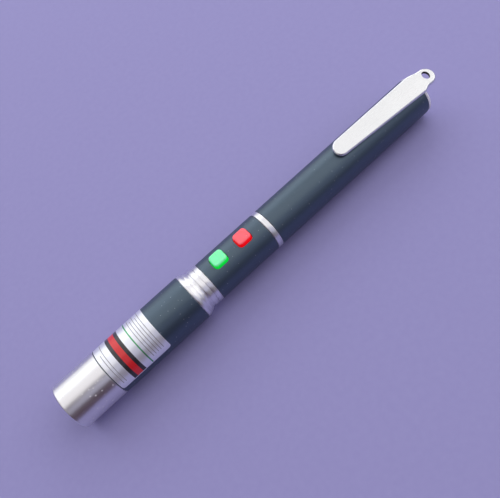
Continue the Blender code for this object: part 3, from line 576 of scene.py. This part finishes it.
# %% Stamp the clip
CLIP_TIP, CLIP_TOP, CLIP_THICKNESS = 110.2, 8.4, 1.1
LEFT_SIDE = [(0, 3.12, 3.07), (35.4, 3.94, 1.7), (37.7, 2.94, 1.2), (42.3, 2.66, 3.0)]
RIGHT_SIDE = [(0, 2.60, 2.55), (36.0, 4.06, 0.6), (37.3, 3.20, 0.9), (42.3, 3.44, 3.1)]
CLIP_RIM, CLIP_UNDER_RIM, CLIP_CORNER_STEPS = 0.65, 0.15, 14
clip_foot = CLIP_TOP - CLIP_THICKNESS
clip_corners = [
    (Vector((at(CLIP_TIP + along), side * half * MM, over(clip_foot))), rounding)
    for side, outline in ((1, LEFT_SIDE), (-1, RIGHT_SIDE[::-1]))
    for along, half, rounding in outline]
clip = draw([place for place, _ in clip_corners])
for place, rounding in clip_corners:
    round_corner(clip, place, rounding, CLIP_CORNER_STEPS)
weld()
bpy.ops.mesh.edge_face_add()
extrude_up(CLIP_THICKNESS * MM)
face_outwards()
for height, rim, segments in ((CLIP_TOP, CLIP_RIM, 4), (clip_foot, CLIP_UNDER_RIM, 2)):
    pick(clip, "edges", lambda edge: all(
        abs(vert.co.z - over(height)) < SAME_PLACE for vert in edge.verts))
    bpy.ops.mesh.bevel(offset=rim * MM, segments=segments)
leave_edit()
print("clip blank:", [round(side / MM, 2) for side in clip.dimensions], "mm")

# %% Drill the eyelet and bend the toe
EYELET_CENTRE, EYELET_SHIFT, EYELET_RIM = 39.45, 0.02, 0.08
EYELET_LENGTH, EYELET_WIDTH, WALL_SHARE = 2.25, 2.95, 0.02
TOE_DROP, TOE_LENGTH, TOE_SLICE, TOE_SLICES = 0.15, 4.0, 0.25, 20
eyelet = Vector((at(CLIP_TIP + EYELET_CENTRE), EYELET_SHIFT * MM,
                 over(CLIP_TOP - CLIP_THICKNESS / 2)))
cut(clip, add("cylinder", vertices=DRILL_SIDES, radius=MM, depth=DRILL_LENGTH * MM, location=eyelet,
              scale=(EYELET_LENGTH / 2, EYELET_WIDTH / 2, 1)))


def share_of_eyelet(place):
    """How far a place is from the hole's middle, as a share of the way to the hole's wall."""
    along, across, _ = (place - eyelet) / MM
    return Vector((2 * along / EYELET_LENGTH, 2 * across / EYELET_WIDTH)).length


edit(clip)
rims = pick(clip, "edges", lambda edge: all(
    abs(share_of_eyelet(vert.co) - 1) < WALL_SHARE for vert in edge.verts)
    and abs(edge.verts[0].co.z - edge.verts[1].co.z) < SAME_PLACE)
bpy.ops.mesh.bevel(offset=EYELET_RIM * MM, segments=3, clamp_overlap=False)
print("eyelet rims:", rims, "edges")
for number in range(1, TOE_SLICES + 1):
    pick_all()
    bpy.ops.mesh.bisect(plane_co=(at(CLIP_TIP + number * TOE_SLICE), 0, 0), plane_no=(1, 0, 0))
pick(clip, "verts", lambda vert: vert.co.x < at(CLIP_TIP + CLIP_RIM) + CLOSE_BY
     and vert.co.z > over(CLIP_TOP) - SAME_PLACE)
bpy.ops.transform.translate(
    value=(0, 0, -TOE_DROP * MM), use_proportional_edit=True,
    proportional_edit_falloff="SMOOTH", proportional_size=TOE_LENGTH * MM)

# %% [markdown]
# The clip is held by a leg that is folded down into the cap's slot. The foot of the sheet is sliced
# only where the leg grows, and the small face between the slices is extruded down. Like the real
# one, the clip sits a little askew, and it was screwed on past the buttons with the tail.

# %% Fold the leg down and set the clip askew
CLIP_ROOT, LEG_THICKNESS, LEG_WIDTH, LEG_DROP = 146.9, 0.7, 3.0, 2.1
LEG_TAPER, LEG_TIP, FLAT_WITHIN = 0.08, 0.06, 0.01
CLIP_SKEW = radians(-1.6)
CLIP_TURNS = [(CLIP_SKEW, "Z", (at(CLIP_ROOT), 0, AXIS_Z)), (TAIL_ROLL, "X", (0, 0, AXIS_Z))]


def is_clip_foot(face):
    """Whether a face is part of the flat under the clip's root."""
    return faces_down(face) and abs(face.calc_center_median().z - over(clip_foot)) < FLAT_WITHIN * MM


for side in (-1, 1):
    pick(clip, "faces", is_clip_foot)
    bpy.ops.mesh.bisect(plane_co=(at(CLIP_ROOT + side * LEG_THICKNESS / 2), 0, 0),
                        plane_no=(1, 0, 0))
    pick(clip, "faces", is_clip_foot)
    bpy.ops.mesh.bisect(plane_co=(0, side * LEG_WIDTH / 2 * MM, 0), plane_no=(0, 1, 0))
legs = pick(clip, "faces", lambda face: is_clip_foot(face)
            and abs(face.calc_center_median().x - at(CLIP_ROOT)) < LEG_THICKNESS / 2 * MM
            and abs(face.calc_center_median().y) < LEG_WIDTH / 2 * MM)
extrude_up(-LEG_DROP * MM)
bpy.ops.mesh.inset(thickness=LEG_TAPER * MM, depth=LEG_TIP * MM)
print("faces that became the leg:", legs)
leave_edit()
for clip_turn in CLIP_TURNS:
    rotate_piece(clip, *clip_turn)
finish_piece(clip, "pocket_clip", smooth_under=40)

# %% [markdown]
# ## What moves with what
#
# Each new piece hides the solid that it stands for, rides on that solid's body and takes the finish
# that the solid had in the list of parts. The label and the thread's ridge are new: no solid stands
# for them, and both ride on the body of the pen itself.

# %% Replace the solids and ride the bodies
body_of = {node: body for body, nodes in frame["record"]["behaviour"]["bodies"].items()
           for node in nodes}
slot_of = {row["node"]: row["material_slot"] for row in frame["record"]["subparts"]}
STANDS_FOR = {
    "nose_sleeve": "nose_cap", "aperture_disc": "aperture_plate", "barrel_tube": "head_barrel",
    "stepped_collar": "collar", "switch_tube_shell": "switch_tube",
    "green_key_cap": "green_button", "red_key_cap": "red_button",
    "coupling_collar": "coupling_ring", "tail_tube_shell": "tail_tube",
    "end_cap_plug": "end_cap", "pocket_clip": "clip"}
for name, node in STANDS_FOR.items():
    piece = bpy.data.objects[name]
    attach(piece, body_of[node])
    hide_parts(node)
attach(thread, "pen")
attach(label, "pen")
kept = [node for node in slot_of if node not in STANDS_FOR.values()]
print(len(STANDS_FOR) + 2, "new pieces,", len(kept), "solids kept")

# %% [markdown]
# ## Shader sums as Python sums
#
# A material that is more than one flat colour is a sum: a scratch pattern times a strength, plus a
# base value. Wiring each step by hand hides that sum, so the small class below wraps a socket and
# lets Python's own signs add the Math nodes. Every other node goes through its one method `node`.

# %% A socket that can be reckoned with
def feed(node, inputs):
    """Link or set a node's inputs, each given by its name or number."""
    for name, value in dict(inputs).items():
        if isinstance(value, Signal):
            node.id_data.links.new(value.socket, node.inputs[name])
        else:
            node.inputs[name].default_value = value


class Signal:
    """One output of a material's nodes, which adds a Math node when it is reckoned with."""

    def __init__(self, socket):
        self.socket = socket

    def node(self, kind, settings=(), inputs=(), output=0):
        """Add any node beside this one: its settings first, then its inputs."""
        node = self.socket.id_data.nodes.new("ShaderNode" + kind)
        for name, value in dict(settings).items():
            setattr(node, name, value)
        feed(node, inputs)
        return Signal(node.outputs[output])

    def maths(self, operation, *others):
        """Add a Math node on this signal and what follows it."""
        return self.node("Math", {"operation": operation}, enumerate((self, *others)))

    def __add__(self, other):
        return self.maths("ADD", other)

    def __sub__(self, other):
        return self.maths("SUBTRACT", other)

    def __rsub__(self, other):
        return self.node("Math", {"operation": "SUBTRACT"}, {0: other, 1: self})

    def __mul__(self, other):
        return self.maths("MULTIPLY", other)

    def __truediv__(self, other):
        return self.maths("DIVIDE", other)

    def __gt__(self, other):
        return self.maths("GREATER_THAN", other)

    def __abs__(self):
        return self.maths("ABSOLUTE")

    __radd__, __rmul__ = __add__, __mul__


def mix(mask, colour_where_0, colour_where_1):
    """Blend two colours by a mask."""
    inputs = {0: mask}
    for number, colour in ((6, colour_where_0), (7, colour_where_1)):
        inputs[number] = colour if isinstance(colour, Signal) else (*colour, 1)
    return mask.node("Mix", {"data_type": "RGBA"}, inputs, 2)


def ease(signal, start, end):
    """A smooth step that is 0 at start and 1 at end."""
    return signal.node("MapRange", {"interpolation_type": "SMOOTHSTEP"},
                       {"Value": signal, "From Min": start, "From Max": end})


def stripe(signal, start, end, soft=0.06):
    """A band between two places with slightly soft edges."""
    return ease(signal, start - soft, start + soft) * (1 - ease(signal, end - soft, end + soft))


def part(vector, output="X"):
    """One number of a vector."""
    return vector.node("SeparateXYZ", (), {0: vector}, output)


# %% [markdown]
# Every finish is a recipe: a function that is given the place of a point on the pen in millimetres
# and says what goes to each socket of a Principled shader. Three patterns come back again and again.
# Rings are what a lathe leaves: noise that changes fast along the axis and hardly at all round it.
# Dust is a sparse set of small dots. Cloud is soft variation from handling.

# %% Make a finish, and three patterns
CLEAN_SHARE = 0.62


def make_finish(name, recipe, *choices):
    """Make a material, give its shader what the recipe says, and print its name."""
    material = bpy.data.materials.new(name)
    material.use_nodes = True
    coordinates = material.node_tree.nodes.new("ShaderNodeTexCoord")
    metres = Signal(coordinates.outputs["Object"])
    place = metres.node("VectorMath", {"operation": "SCALE"}, {0: metres, "Scale": 1 / MM})
    feed(material.node_tree.nodes["Principled BSDF"], recipe(place, *choices))
    print("made", name)
    return material


def stretched(place, along, across):
    """The place with its own scale along the pen and across it."""
    return place.node("VectorMath", {"operation": "MULTIPLY"}, {0: place, 1: (along, across, across)})


def noise(place, scale, detail=2.0):
    """Soft noise round 0.5."""
    return place.node("TexNoise", (), {"Vector": place, "Scale": scale, "Detail": detail})


def rings(place, per_mm, round_it=0.12):
    """The fine rings that a lathe leaves, and how fast they change round the piece."""
    return noise(stretched(place, per_mm, round_it), 1.0, 3.0)


def dust(place, spacing, size):
    """Small dots, in only some of the cells of a grid of the given spacing in millimetres."""
    reach, colour = [place.node("TexVoronoi", (), {"Vector": place, "Scale": 1 / spacing}, output)
                     for output in ("Distance", "Color")]
    chance = colour.node("SeparateColor", (), {0: colour})
    return (1 - ease(reach, size / 2 / spacing, size / spacing)) * (chance > CLEAN_SHARE)


def bump(height, distance):
    """A height in shares of a distance in millimetres, as a normal."""
    return height.node("Bump", (), {"Height": height, "Distance": distance * MM})


# %% [markdown]
# ## Satin nose and cap
#
# The nose is plated and then satin finished. Light runs along it in broad soft bands, so the metal
# is only a little rough, and the roughness itself changes from ring to ring. The end cap's plating
# is painted near white and made hardly a mirror, a painted highlight that makes its thin flange look
# light from every side. Specks of dust lie on both. Dust isn't metal, so its mask lowers the metallic
# value as well.

# %% Satin plating
def satin_plating(place, darker, lighter, shine):
    """Turned and plated metal with dust on it; shine is how much of a metal it is."""
    turned, cloud, specks = rings(place, 9), noise(place, 0.25), dust(place, 1.1, 0.28)
    return {"Base Color": mix(specks, mix(cloud, darker, lighter), (0.95, 0.95, 0.95)),
            "Metallic": shine * (1 - specks),
            "Roughness": 0.25 + 0.06 * turned + 0.05 * cloud + 0.2 * specks,
            "Normal": bump(turned, 0.0012)}


SATIN = make_finish("satin plating", satin_plating, (0.76, 0.76, 0.78), (0.82, 0.82, 0.83), 1.0)
# painted highlight: the cap is near white and hardly metal, so its flange looks lit from every side
CAP_PAINTED_HIGHLIGHT = make_finish("cap plating with painted highlight", satin_plating, (0.95, 0.95, 0.96), (0.98, 0.98, 0.99), 0.15)

# %% [markdown]
# ## Matte black lacquer
#
# The lacquer on the tubes is a very dark blue-grey. Close up it has a fine orange-peel texture that
# spreads the light into a broad dull sheen, and a bluish specular tint keeps that sheen cool. Grains
# of dust sit on it, and handling wears its edges a little paler and smoother. The wear is worked out
# from the distance to the tubes' ends.

# %% Lacquer
WORN_TO, WEAR_REACH = 0.05, 0.35


def lacquer(place, *edges):
    """Black lacquer that is worn next to some places along the pen, in millimetres."""
    peel, cloud, specks = noise(place, 5.0, 3.0), noise(place, 0.3), dust(place, 1.1, 0.15)
    wear = sum(1 - ease(abs(part(place) - at(edge) / MM), WORN_TO, WEAR_REACH) for edge in edges)
    scuffed = wear * ease(noise(place, 1.6), 0.42, 0.62)
    shade = mix(cloud, (0.005, 0.012, 0.026), (0.009, 0.018, 0.036))
    shade = mix(0.25 * scuffed, shade, (0.30, 0.30, 0.30))
    return {"Base Color": mix(0.6 * specks, shade, (0.50, 0.52, 0.55)),
            "IOR": 1.72, "Specular IOR Level": 1.0, "Specular Tint": (0.62, 0.83, 1, 1),
            "Roughness": 0.32 + 0.08 * peel + 0.05 * cloud - 0.08 * scuffed,
            "Normal": bump(peel, 0.02)}


HEAD_LACQUER = make_finish("head lacquer", lacquer, barrel_start, barrel_end)
TUBE_LACQUER = make_finish("tube lacquer", lacquer, tube_start, tube_end, tail_start, tail_end)

# %% [markdown]
# ## Bright turned chrome
#
# The collar and the ring are turned bright and plated. They mirror the room, and tool rings break
# the mirror up along the axis. Coarse rings change the colour and stand out a little, and finer ones
# change the roughness.

# %% Chrome
def turned_chrome(place):
    """Bright plating with tool rings of two scales."""
    fine, coarse, specks = rings(place, 5, 0.01), rings(place, 2.2, 0.01), dust(place, 1.4, 0.08)
    shade = mix(ease(coarse, 0.3, 0.7), (0.74, 0.75, 0.78), (0.88, 0.88, 0.90))
    return {"Base Color": mix(specks, shade, (0.80, 0.79, 0.77)), "Metallic": 1.0,
            "Roughness": 0.275 + 0.03 * fine + 0.2 * specks, "Normal": bump(coarse, 0.003)}


CHROME = make_finish("turned chrome", turned_chrome)

# %% [markdown]
# ## Clip
#
# The clip is brushed along its length before it is plated, so here the noise is stretched the other
# way. It has been in and out of pockets, which leaves short fine scratches at every angle. The wall of
# the eyelet is painted dark and dull, as painted shade. That wall is found from two shares of the way
# to it, one along the clip and one across it. Both ways and the hole's middle are turned here just as
# the clip was.

# %% Brushed clip
def brushed_clip(place):
    """Metal brushed along the clip, with scratches and painted shade on the eyelet's wall."""
    hole, along, across = eyelet.copy(), Vector((1, 0, 0)), Vector((0, 1, 0))
    for angle, axis, centre in CLIP_TURNS:
        turned = Matrix.Rotation(angle, 3, axis)
        hole = turned @ (hole - Vector(centre)) + Vector(centre)
        along, across = turned @ along, turned @ across
    reach = place.node("VectorMath", {"operation": "SUBTRACT"}, {0: place, 1: hole / MM})
    shares = 0
    for way, length in ((along, EYELET_LENGTH), (across, EYELET_WIDTH)):
        share = reach.node("VectorMath", {"operation": "DOT_PRODUCT"},
                           {0: reach, 1: way * 2 / length}, "Value")
        shares = shares + share * share
    # painted shade: the eyelet's wall is made dark and dull
    painted_eyelet_shade = 1 - ease(shares, 1.02, 1.09)
    brushed, cloud = noise(stretched(place, 0.25, 7.0), 1.0, 3.0), noise(place, 0.2)
    scratches = ease(noise(stretched(place, 1.4, 0.9), 3.0, 6.0), 0.60, 0.64)
    shade = mix(cloud, (0.78, 0.80, 0.80), (0.84, 0.86, 0.86))
    shade = mix(painted_eyelet_shade, shade, (0.07, 0.06, 0.055))
    return {"Base Color": mix(0.25 * scratches, shade, (0.66, 0.66, 0.68)), "Metallic": 1.0,
            "Roughness": 0.20 + 0.12 * brushed + 0.08 * scratches + 0.3 * painted_eyelet_shade,
            "Normal": bump(brushed + 0.4 * scratches, 0.006)}


CLIP_METAL = make_finish("brushed clip", brushed_clip)

# %% [markdown]
# ## Button plastic
#
# The buttons are bright translucent plastic. Their colour is painted paler from a height up to the
# top, as painted light for the light that goes in at the top. A little light is let under the surface
# too, and a painted glow stands for what comes out again. A fine mould texture dulls the gloss.

# %% Buttons
# the height where the painted light on the button tops is palest
PAINTED_LIGHT_TOP = 7.95


def button_plastic(place, side_colour, lit_top_colour, painted_glow_colour, painted_light_from):
    """Translucent plastic painted paler from a height over the axis up to its top, as painted light, with
    a painted glow.
    """
    grain, cloud, specks = noise(place, 9.0, 3.0), noise(place, 0.6), dust(place, 1.3, 0.09)
    # painted light: the colour is paler the higher the point
    height = ease(part(place, "Z"), over(painted_light_from) / MM, over(PAINTED_LIGHT_TOP) / MM)
    shade = mix(height * (0.85 + 0.3 * cloud), side_colour, lit_top_colour)
    return {"Base Color": mix(0.5 * specks, shade, (0.85, 0.85, 0.85)), "IOR": 1.46,
            "Subsurface Weight": 0.6, "Subsurface Scale": 0.0012,
            "Roughness": 0.30 + 0.12 * grain, "Normal": bump(grain, 0.008),
            # painted glow: each button gives off light in its own colours
            "Emission Color": mix(height, side_colour, painted_glow_colour), "Emission Strength": 0.6}


GREEN = make_finish("green button plastic", button_plastic, (0.0, 0.80, 0.05), (0.24, 0.92, 0.46),
                    (0.07, 0.33, 0.17), 7.2)
RED = make_finish("red button plastic", button_plastic, (0.90, 0.0, 0.004), (1.0, 0.15, 0.18),
                  (0.36, 0.05, 0.06), 7.5)

# %% [markdown]
# ## Printed foil
#
# The label is silver foil with a clear coat. Its printing is plain: one striped band across it, a
# thin green line, and rows of fine grey rules that end at different places, all clear of its cut
# edge. The plane's UV map was rolled up with it, so u runs along the pen and v round it, and both
# are turned back into millimetres on the flat label.

# %% Foil and printing
CUT_EDGE, ROW_PITCH, ROW_START = 0.25, 0.95, 2.0
DARK_BAND, RED_BAND, GREEN_LINE = (4.4, 8.8), (5.6, 7.6), (11.2, 11.6)
RULED_BLOCKS = [(12.4, 17.2), (0.95, 2.85)]


def printed_foil(place):
    """Silver foil with its printing, laid out in millimetres on the flat label."""
    uv = place.node("UVMap", {"uv_map": label.data.uv_layers[0].name})
    along, around = part(uv) * LABEL_LENGTH, part(uv, "Y") * label_wrap
    inside = (stripe(along, CUT_EDGE, LABEL_LENGTH - CUT_EDGE)
              * stripe(around, CUT_EDGE, label_wrap - CUT_EDGE))
    cloud, fleck = noise(place, 0.4), noise(place, 12.0)
    ink = mix(cloud, (0.84, 0.87, 0.94), (0.90, 0.92, 0.98))
    ink = mix(inside, (0.88, 0.90, 0.94), ink)
    rows = along / ROW_PITCH
    row, within = rows.maths("FLOOR"), rows.maths("FRACT")
    length = row.node("TexWhiteNoise", {"noise_dimensions": "1D"}, {"W": row}) * 9 + 12
    rules = stripe(within, 0.36, 0.60) * stripe(around, ROW_START, length)
    rules = rules * sum(stripe(along, *block, 0.02) for block in RULED_BLOCKS)
    dark, red, green = [stripe(along, *band) * inside
                        for band in (DARK_BAND, RED_BAND, GREEN_LINE)]
    for mask, colour in ((0.75 * rules, (0.16, 0.16, 0.18)), (dark, (0.02, 0.02, 0.025)),
                         (red, (0.72, 0.015, 0.02)), (green, (0.05, 0.35, 0.12))):
        ink = mix(mask, ink, colour)
    return {"Base Color": ink, "Metallic": 0.7 * (1 - dark) * (1 - rules),
            "Coat Weight": 0.4, "Coat Roughness": 0.12,
            "Roughness": 0.30 + 0.10 * fleck, "Normal": bump(fleck, 0.004)}


FOIL = make_finish("printed foil", printed_foil)

# %% [markdown]
# ## Inside the pen
#
# The solids inside are seen when the pen is opened or when one looks into the nose. Each gets the
# finish of what it is, built from the same patterns as the outside: turned brass and aluminium,
# coated glass, gold plated cans, moulded plastic, a wrapped cell and a nickel plated spring.

# %% Bare metals
def turned_metal(place, dull_colour, clean_colour, roughness, per_mm):
    """A metal with lathe rings and a cloud of tarnish."""
    turned, cloud = rings(place, per_mm), noise(place, 0.6, 4.0)
    return {"Base Color": mix(cloud, dull_colour, clean_colour), "Metallic": 1.0,
            "Roughness": roughness + 0.14 * turned + 0.08 * (1 - cloud),
            "Normal": bump(turned, 0.008)}


ALUMINIUM = make_finish("turned aluminium", turned_metal, (0.60, 0.61, 0.63), (0.74, 0.75, 0.76), 0.24, 8)
BRASS = make_finish("turned brass", turned_metal, (0.58, 0.41, 0.17), (0.78, 0.60, 0.28), 0.20, 10)
GOLD = make_finish("gold plating", turned_metal, (0.74, 0.56, 0.26), (0.88, 0.70, 0.36), 0.14, 5)
NICKEL = make_finish("nickel plating", turned_metal, (0.58, 0.57, 0.54), (0.74, 0.73, 0.70), 0.18, 3)

# %% Glass and crystal
def optical(place, thin_colour, thick_colour, roughness):
    """A coated optic whose tint drifts a little, with faint polishing haze."""
    cloud, haze = noise(place, 0.5), noise(place, 6.0)
    return {"Base Color": mix(cloud, thin_colour, thick_colour), "IOR": 1.52,
            "Transmission Weight": 0.7, "Roughness": roughness + 0.04 * haze}


GLASS = make_finish("coated glass", optical, (0.74, 0.88, 0.95), (0.86, 0.90, 0.98), 0.01)
CRYSTAL = make_finish("laser crystal", optical, (0.62, 0.48, 0.80), (0.74, 0.62, 0.90), 0.03)

# %% Moulded plastics
def moulded(place, colour, lighter, roughness, grain_scale):
    """A plain plastic with the fine texture of its mould and a little scuffing."""
    grain, cloud = noise(place, grain_scale, 3.0), noise(place, 0.7, 3.0)
    return {"Base Color": mix(cloud, colour, lighter), "IOR": 1.46,
            "Roughness": roughness + 0.12 * grain, "Normal": bump(grain, 0.01)}


BLACK = make_finish("black plastic", moulded, (0.022, 0.022, 0.024), (0.040, 0.040, 0.042), 0.42, 5.0)
DISC_BLACK = make_finish("black disc", moulded, (0.018, 0.018, 0.018), (0.034, 0.034, 0.034), 0.50, 8.0)
WHITE = make_finish("white plastic", moulded, (0.76, 0.76, 0.72), (0.86, 0.86, 0.83), 0.34, 4.0)
BLUE = make_finish("blue plastic", moulded, (0.030, 0.11, 0.46), (0.055, 0.17, 0.58), 0.28, 4.0)

# %% [markdown]
# The board has copper tracks under a green resist, which show as paler lines. They follow the walls
# between the cells of a Voronoi texture, and a small square pad sits in the middle of each cell. The
# battery's shrink wrap is printed with plain bands, and its bare can shows at both ends.

# %% Board and cell
def printed_board(place):
    """Green resist with tracks under it and bare pads."""
    cells, walls = [place.node("TexVoronoi", settings,
                               {"Vector": place, "Scale": 0.8, "Randomness": 0.55})
                    for settings in ({"distance": "CHEBYCHEV"}, {"feature": "DISTANCE_TO_EDGE"})]
    tracks, pads = 1 - ease(walls, 0.04, 0.09), 1 - ease(cells, 0.10, 0.16)
    resist = mix(noise(place, 1.2), (0.010, 0.120, 0.050), (0.018, 0.170, 0.075))
    shade = mix(0.6 * tracks, resist, (0.05, 0.30, 0.13))
    return {"Base Color": mix(pads, shade, (0.62, 0.60, 0.56)), "Metallic": 0.9 * pads,
            "IOR": 1.5, "Coat Weight": 0.5, "Coat Roughness": 0.15,
            "Roughness": 0.34 + 0.10 * noise(place, 4.0) - 0.10 * pads,
            "Normal": bump(tracks, 0.03)}


def cell_wrapping(place):
    """Blue-grey wrap with two pale bands, over a bare metal can."""
    along = part(place)
    start, end = [at(distance) / MM for distance in ends("battery_cell")]
    bare = (1 - ease(along, start + 1.8, start + 1.9)) + ease(along, end - 0.8, end - 0.7)
    band = stripe(along, start + 6, start + 9) + stripe(along, start + 9.6, start + 10.0)
    wrinkle = noise(stretched(place, 3.0, 0.4), 1.0, 4.0)
    wrap = mix(noise(place, 0.3), (0.10, 0.15, 0.24), (0.15, 0.20, 0.30))
    wrap = mix(band, wrap, (0.70, 0.70, 0.70))
    return {"Base Color": mix(bare, wrap, (0.66, 0.66, 0.65)), "Metallic": bare,
            "IOR": 1.5, "Coat Weight": 0.6, "Coat Roughness": 0.1,
            "Roughness": 0.26 + 0.14 * wrinkle, "Normal": bump(wrinkle, 0.02)}


BOARD = make_finish("printed board", printed_board)
WRAP = make_finish("cell wrapping", cell_wrapping)

# %% Put every finish on its pieces
FINISH_OF_SLOT = {
    "satin_silver": SATIN, "clip_silver": CLIP_METAL, "bright_chrome": CHROME,
    "body_black": TUBE_LACQUER, "plate_black": DISC_BLACK, "bare_aluminium": ALUMINIUM,
    "turned_brass": BRASS, "lens_glass": GLASS, "crystal": CRYSTAL, "diode_can": GOLD,
    "green_plastic": GREEN, "red_plastic": RED, "black_plastic": BLACK, "white_plastic": WHITE,
    "blue_plastic": BLUE, "board": BOARD, "cell_wrap": WRAP, "spring_steel": NICKEL}
for name, node in STANDS_FOR.items():
    bpy.data.objects[name].data.materials.append(FINISH_OF_SLOT[slot_of[node]])
barrel.data.materials[0], end_cap.data.materials[0] = HEAD_LACQUER, CAP_PAINTED_HIGHLIGHT
thread.data.materials.append(CHROME)
label.data.materials.append(FOIL)
for node in kept:
    solid = frame["nodes"][node]
    if not solid.material_slots:
        solid.data.materials.append(None)
    for material_slot in solid.material_slots:
        material_slot.material = FINISH_OF_SLOT[slot_of[node]]
print("finishes on", len(STANDS_FOR) + 2 + len(kept), "pieces")

# %% [markdown]
# ## Floor
#
# The pen lies on the wide rim of its head and on the far end of its slimmer tail. The solids are
# drawn level, so it is the floor that leans a little, through the two places where the pen touches
# it.

# %% Lay the floor
FLOOR_SIZE = 4.0
rest_front = Vector((at(barrel_end - BARREL_END_ROUND), 0, over(-HEAD_RADIUS)))
rest_back = Vector((at(tail_end - TAIL_END_ROUND), 0, over(-TUBE_RADIUS)))
lean = Vector((1, 0, 0)).angle(rest_back - rest_front)
bpy.ops.object.select_all(action="DESELECT")
bpy.ops.mesh.primitive_plane_add(size=FLOOR_SIZE, location=(rest_front + rest_back) / 2,
                                 rotation=(0, -lean, 0))
floor = bpy.context.object
floor.name = "floor"
floor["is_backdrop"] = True


def floor_paint(place):
    """Dull lilac paint with faint clouds."""
    return {"Base Color": mix(noise(place, 0.5), (0.32, 0.30, 0.58), (0.35, 0.33, 0.61)),
            "Specular IOR Level": 0.2, "Roughness": 0.8 + 0.1 * noise(place, 2.0)}


floor.data.materials.append(make_finish("floor paint", floor_paint))
print("the floor leans", round(lean * 180 / pi, 2), "degrees")

# %% [markdown]
# ## Light
#
# Polished metal shows what surrounds it, so the light is made of what it should show. The key lamp
# above becomes the broad white highlight along the tubes, and the dimmer fading lamp lets it fade.
# Two windows on the far side light the upper edge. A lamp beyond the tail lights what faces the
# tail, such as the collar's cones, one beyond the nose lights what faces forward, and a faint one
# stands on the near side. The dim reddish room between them becomes the dark band. A lamp's power
# is its brightness times its area times pi, so each lamp is written down as a brightness.

# %% Lamps and room
ALONG_PEN, ACROSS_PEN, ASLANT = (1, 0, 0), (0, 1, 0), (0.940, -0.342, 0)
LAMPS = [
    ("key_lamp", (0.08, 0.02, 0.62), ASLANT, (1.4, 0.62), 1.02, (1.0, 1.0, 1.0)),
    ("fading_lamp", (0.22, -0.56, 0.55), ASLANT, (1.25, 0.42), 0.62, (0.76, 0.80, 1.0)),
    ("upper_window", (0.10, 0.66, 0.60), ALONG_PEN, (1.5, 0.50), 1.45, (0.94, 0.97, 1.0)),
    ("lower_window", (0.0, 0.98, 0.28), ALONG_PEN, (1.9, 0.50), 1.05, (0.94, 0.97, 1.0)),
    ("tail_lamp", (0.95, 0.15, 0.45), ACROSS_PEN, (1.7, 0.8), 0.95, (1.0, 1.0, 1.0)),
    ("nose_lamp", (-1.0, 0.1, 0.5), ACROSS_PEN, (1.2, 0.6), 0.6, (1.0, 1.0, 1.0)),
    ("side_lamp", (0.46, -0.9, 0.28), ALONG_PEN, (1.2, 0.5), 0.18, (0.88, 0.97, 1.0))]
for name, place, length_way, (length, width), brightness, colour in LAMPS:
    backward = Vector(place).normalized()
    upward = backward.cross(length_way).normalized()
    aim = Matrix((upward.cross(backward), upward, backward)).transposed()
    bpy.ops.object.light_add(type="AREA", location=place, rotation=aim.to_euler())
    lamp = bpy.context.object
    lamp.name, lamp.data.shape, lamp.data.color = name, "RECTANGLE", colour
    lamp.data.size, lamp.data.size_y = length, width
    lamp.data.energy = brightness * length * width * pi
    lamp.visible_camera = False
    print(name, "has", round(lamp.data.energy, 2), "watts")
room = bpy.data.worlds.new("room")
room.use_nodes = True
room.node_tree.nodes["Background"].inputs["Color"].default_value = (0.066, 0.036, 0.052, 1)
bpy.context.scene.world = room

# %% [markdown]
# ## Camera
#
# The camera looks down on the pen from its near side, a little along it, so that the pen runs from
# the lower left to the upper right. Its place and lens were worked out from the edges of the tubes
# and the rings round them, which fix the angle well.

# %% Set the camera
CAMERA_PLACE = (-30.189462, -83.799192, 163.593469)
CAMERA_TURN = (26.26088168, 12.88850921, -41.23702833)
LENS, SENSOR = 41.0373392, 36
bpy.ops.object.camera_add(location=[MM * side for side in CAMERA_PLACE],
                          rotation=[radians(angle) for angle in CAMERA_TURN])
camera = bpy.context.object
camera.data.lens, camera.data.sensor_width = LENS, SENSOR
bpy.context.scene.camera = camera
bpy.context.scene.view_settings.view_transform = "Standard"
print("the camera is", round(camera.location.length / MM), "mm from the middle of the pen")

# %% [markdown]
# ## Last measure
#
# The dressed pen must fill the same box as the solids.

# %% Compare the boxes and finish
low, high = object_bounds()
boxes = {"cad": [list(cad_low), list(cad_high)], "visual": [list(low), list(high)]}
for name, (lowest, highest) in boxes.items():
    print(name, [round((top - bottom) / MM, 2) for bottom, top in zip(lowest, highest)], "mm")
